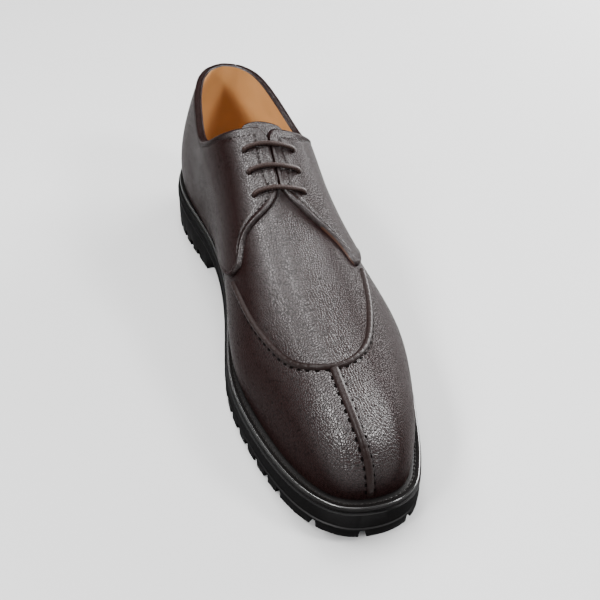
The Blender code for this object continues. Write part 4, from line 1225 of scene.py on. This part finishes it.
def build_outsole(last, looks):
    """Rubber sole: thin through the waist, lugged under the forepart."""
    rows = last.even_rows(EDGE_SPACING, extra=[row[0] for row in TREAD[1:-1]])
    levels = ((LUG_OUTSIDE, lambda at: tread("bottom_z", at)),
              (LUG_OUTSIDE, lambda at: tread("step_z", at) - SIDE_STEP),
              (SOLE_OUTSIDE, lambda at: tread("step_z", at)),
              (SOLE_OUTSIDE, lambda at: last.feather_z(at) - GAP - WELT_THICKNESS - GAP))
    outsole = make("outsole_rubber", stack(last, rows, levels), (looks["rubber"],))
    pocket_rows = last.even_rows(POCKET_SPACING, *POCKET_STATIONS, POCKET_BENDS)
    levels = ((TREAD_POCKET_OUTSIDE, lambda at: tread("bottom_z", at) - TREAD_DEPTH),
              (TREAD_POCKET_OUTSIDE, lambda at: tread("bottom_z", at) + TREAD_DEPTH))
    combine(outsole, stack(last, pocket_rows, levels), "DIFFERENCE")
    combine(outsole, centre_lugs(last), "UNION")
    spaced = np.r_[0.0, TOE_BLOCK_LENGTH, 2 * TOE_BLOCK_LENGTH + LUG_PITCH * np.arange(MOST_LUGS)]
    places = lug_places(last, spaced, TOE_TIP, FOREPART_LUGS_FROM, TOE_NOTCH_ASIDE)
    cutter = notches(last, places, lambda at: float(tread("bottom_z", at)) + NOTCH_HEIGHT)
    combine(outsole, cutter, "DIFFERENCE")
    finish_piece(soften(outsole), "sole_rubber", "outsole")


def build_heel(last, looks):
    """Lugged heel block with a straight breast."""
    rows = last.even_rows(EDGE_SPACING, 0, HEEL_BREAST_STATION, HEEL_BENDS)
    levels = ((HEEL_FOOT_OUTSIDE, np.zeros_like), (HEEL_OUTSIDE, lambda at: tread("bottom_z", at) - GAP))
    heel = make("heel_rubber", stack(last, rows, levels), (looks["rubber"],))
    places = lug_places(last, HEEL_LUG_PITCH * (0.5 + np.arange(MOST_LUGS)), 0, HEEL_LUGS_TO)
    combine(heel, notches(last, places, lambda at: NOTCH_HEIGHT), "DIFFERENCE")
    finish_piece(soften(heel), "sole_rubber", "heel")


def build_stage():
    """Pale floor and soft light."""
    mesh = bpy.data.meshes.new("floor")
    corners = [(x * FLOOR_REACH, y * FLOOR_REACH, 0) for x, y in ((-1, -1), (1, -1), (1, 1), (-1, 1))]
    mesh.from_pydata(corners, [], [(0, 1, 2, 3)])
    mesh.materials.append(matt("pale_floor", 3.0, (0.29, 0.29, 0.29), (0.30, 0.30, 0.30), 0.2))
    floor = placed("floor", mesh)
    world = bpy.data.worlds.new("studio")
    world.use_nodes = True
    world.node_tree.nodes["Background"].inputs["Color"].default_value = WORLD_COLOUR
    world.node_tree.nodes["Background"].inputs["Strength"].default_value = WORLD_STRENGTH
    bpy.context.scene.world = world
    for name, place, aim, width, height, power in LIGHTS:
        light = bpy.data.lights.new(name, "AREA")
        light.shape = "RECTANGLE"
        light.size = width
        light.size_y = height
        light.energy = power
        lamp = placed(name, light)
        lamp.location = place
        lamp.rotation_euler = (Vector(aim) - Vector(place)).to_track_quat("-Z", "Y").to_euler()


def build_camera():
    """The photo's viewpoint, turned about itself so that the shoe fills the frame."""
    right, up = Vector(CAMERA_RIGHT), Vector(CAMERA_UP)
    ahead = -right.cross(up)
    aim = ahead * PHOTO_FOCAL + right * PHOTO_AIM[0] - up * PHOTO_AIM[1]
    back = -aim.normalized()
    across = up.cross(back).normalized()
    upward = back.cross(across)
    data = bpy.data.cameras.new("camera")
    data.sensor_width = SENSOR
    data.lens = SENSOR * FOCAL / IMAGE_SIZE
    data.clip_start = 0.01
    camera = placed("camera", data)
    turned = Matrix((across, upward, back)).transposed().to_4x4()
    turned.translation = Vector(CAMERA_PLACE)
    camera.matrix_world = turned
    bpy.context.scene.camera = camera


def sole_origin(last):
    """Plan centre of the sole's outline."""
    points = np.vstack([last.outline(last.row, side, LUG_OUTSIDE) for side in SIDES])
    middle = (points.min(axis=0) + points.max(axis=0)) / 2
    return np.array([*middle, 0.0])


last = Last()
CENTRE = sole_origin(last)
looks = looks_of_shoe()
build_camera()
build_stage()
build_upper(last, looks)
for side in SIDES:
    build_quarter(last, looks, side)
for build in (build_back_strap, build_tongue, build_seams, build_laces,
              build_welt, build_outsole, build_heel):
    build(last, looks)
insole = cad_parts["insole"]
insole.data.materials.clear()
insole.data.materials.append(looks["lining"])
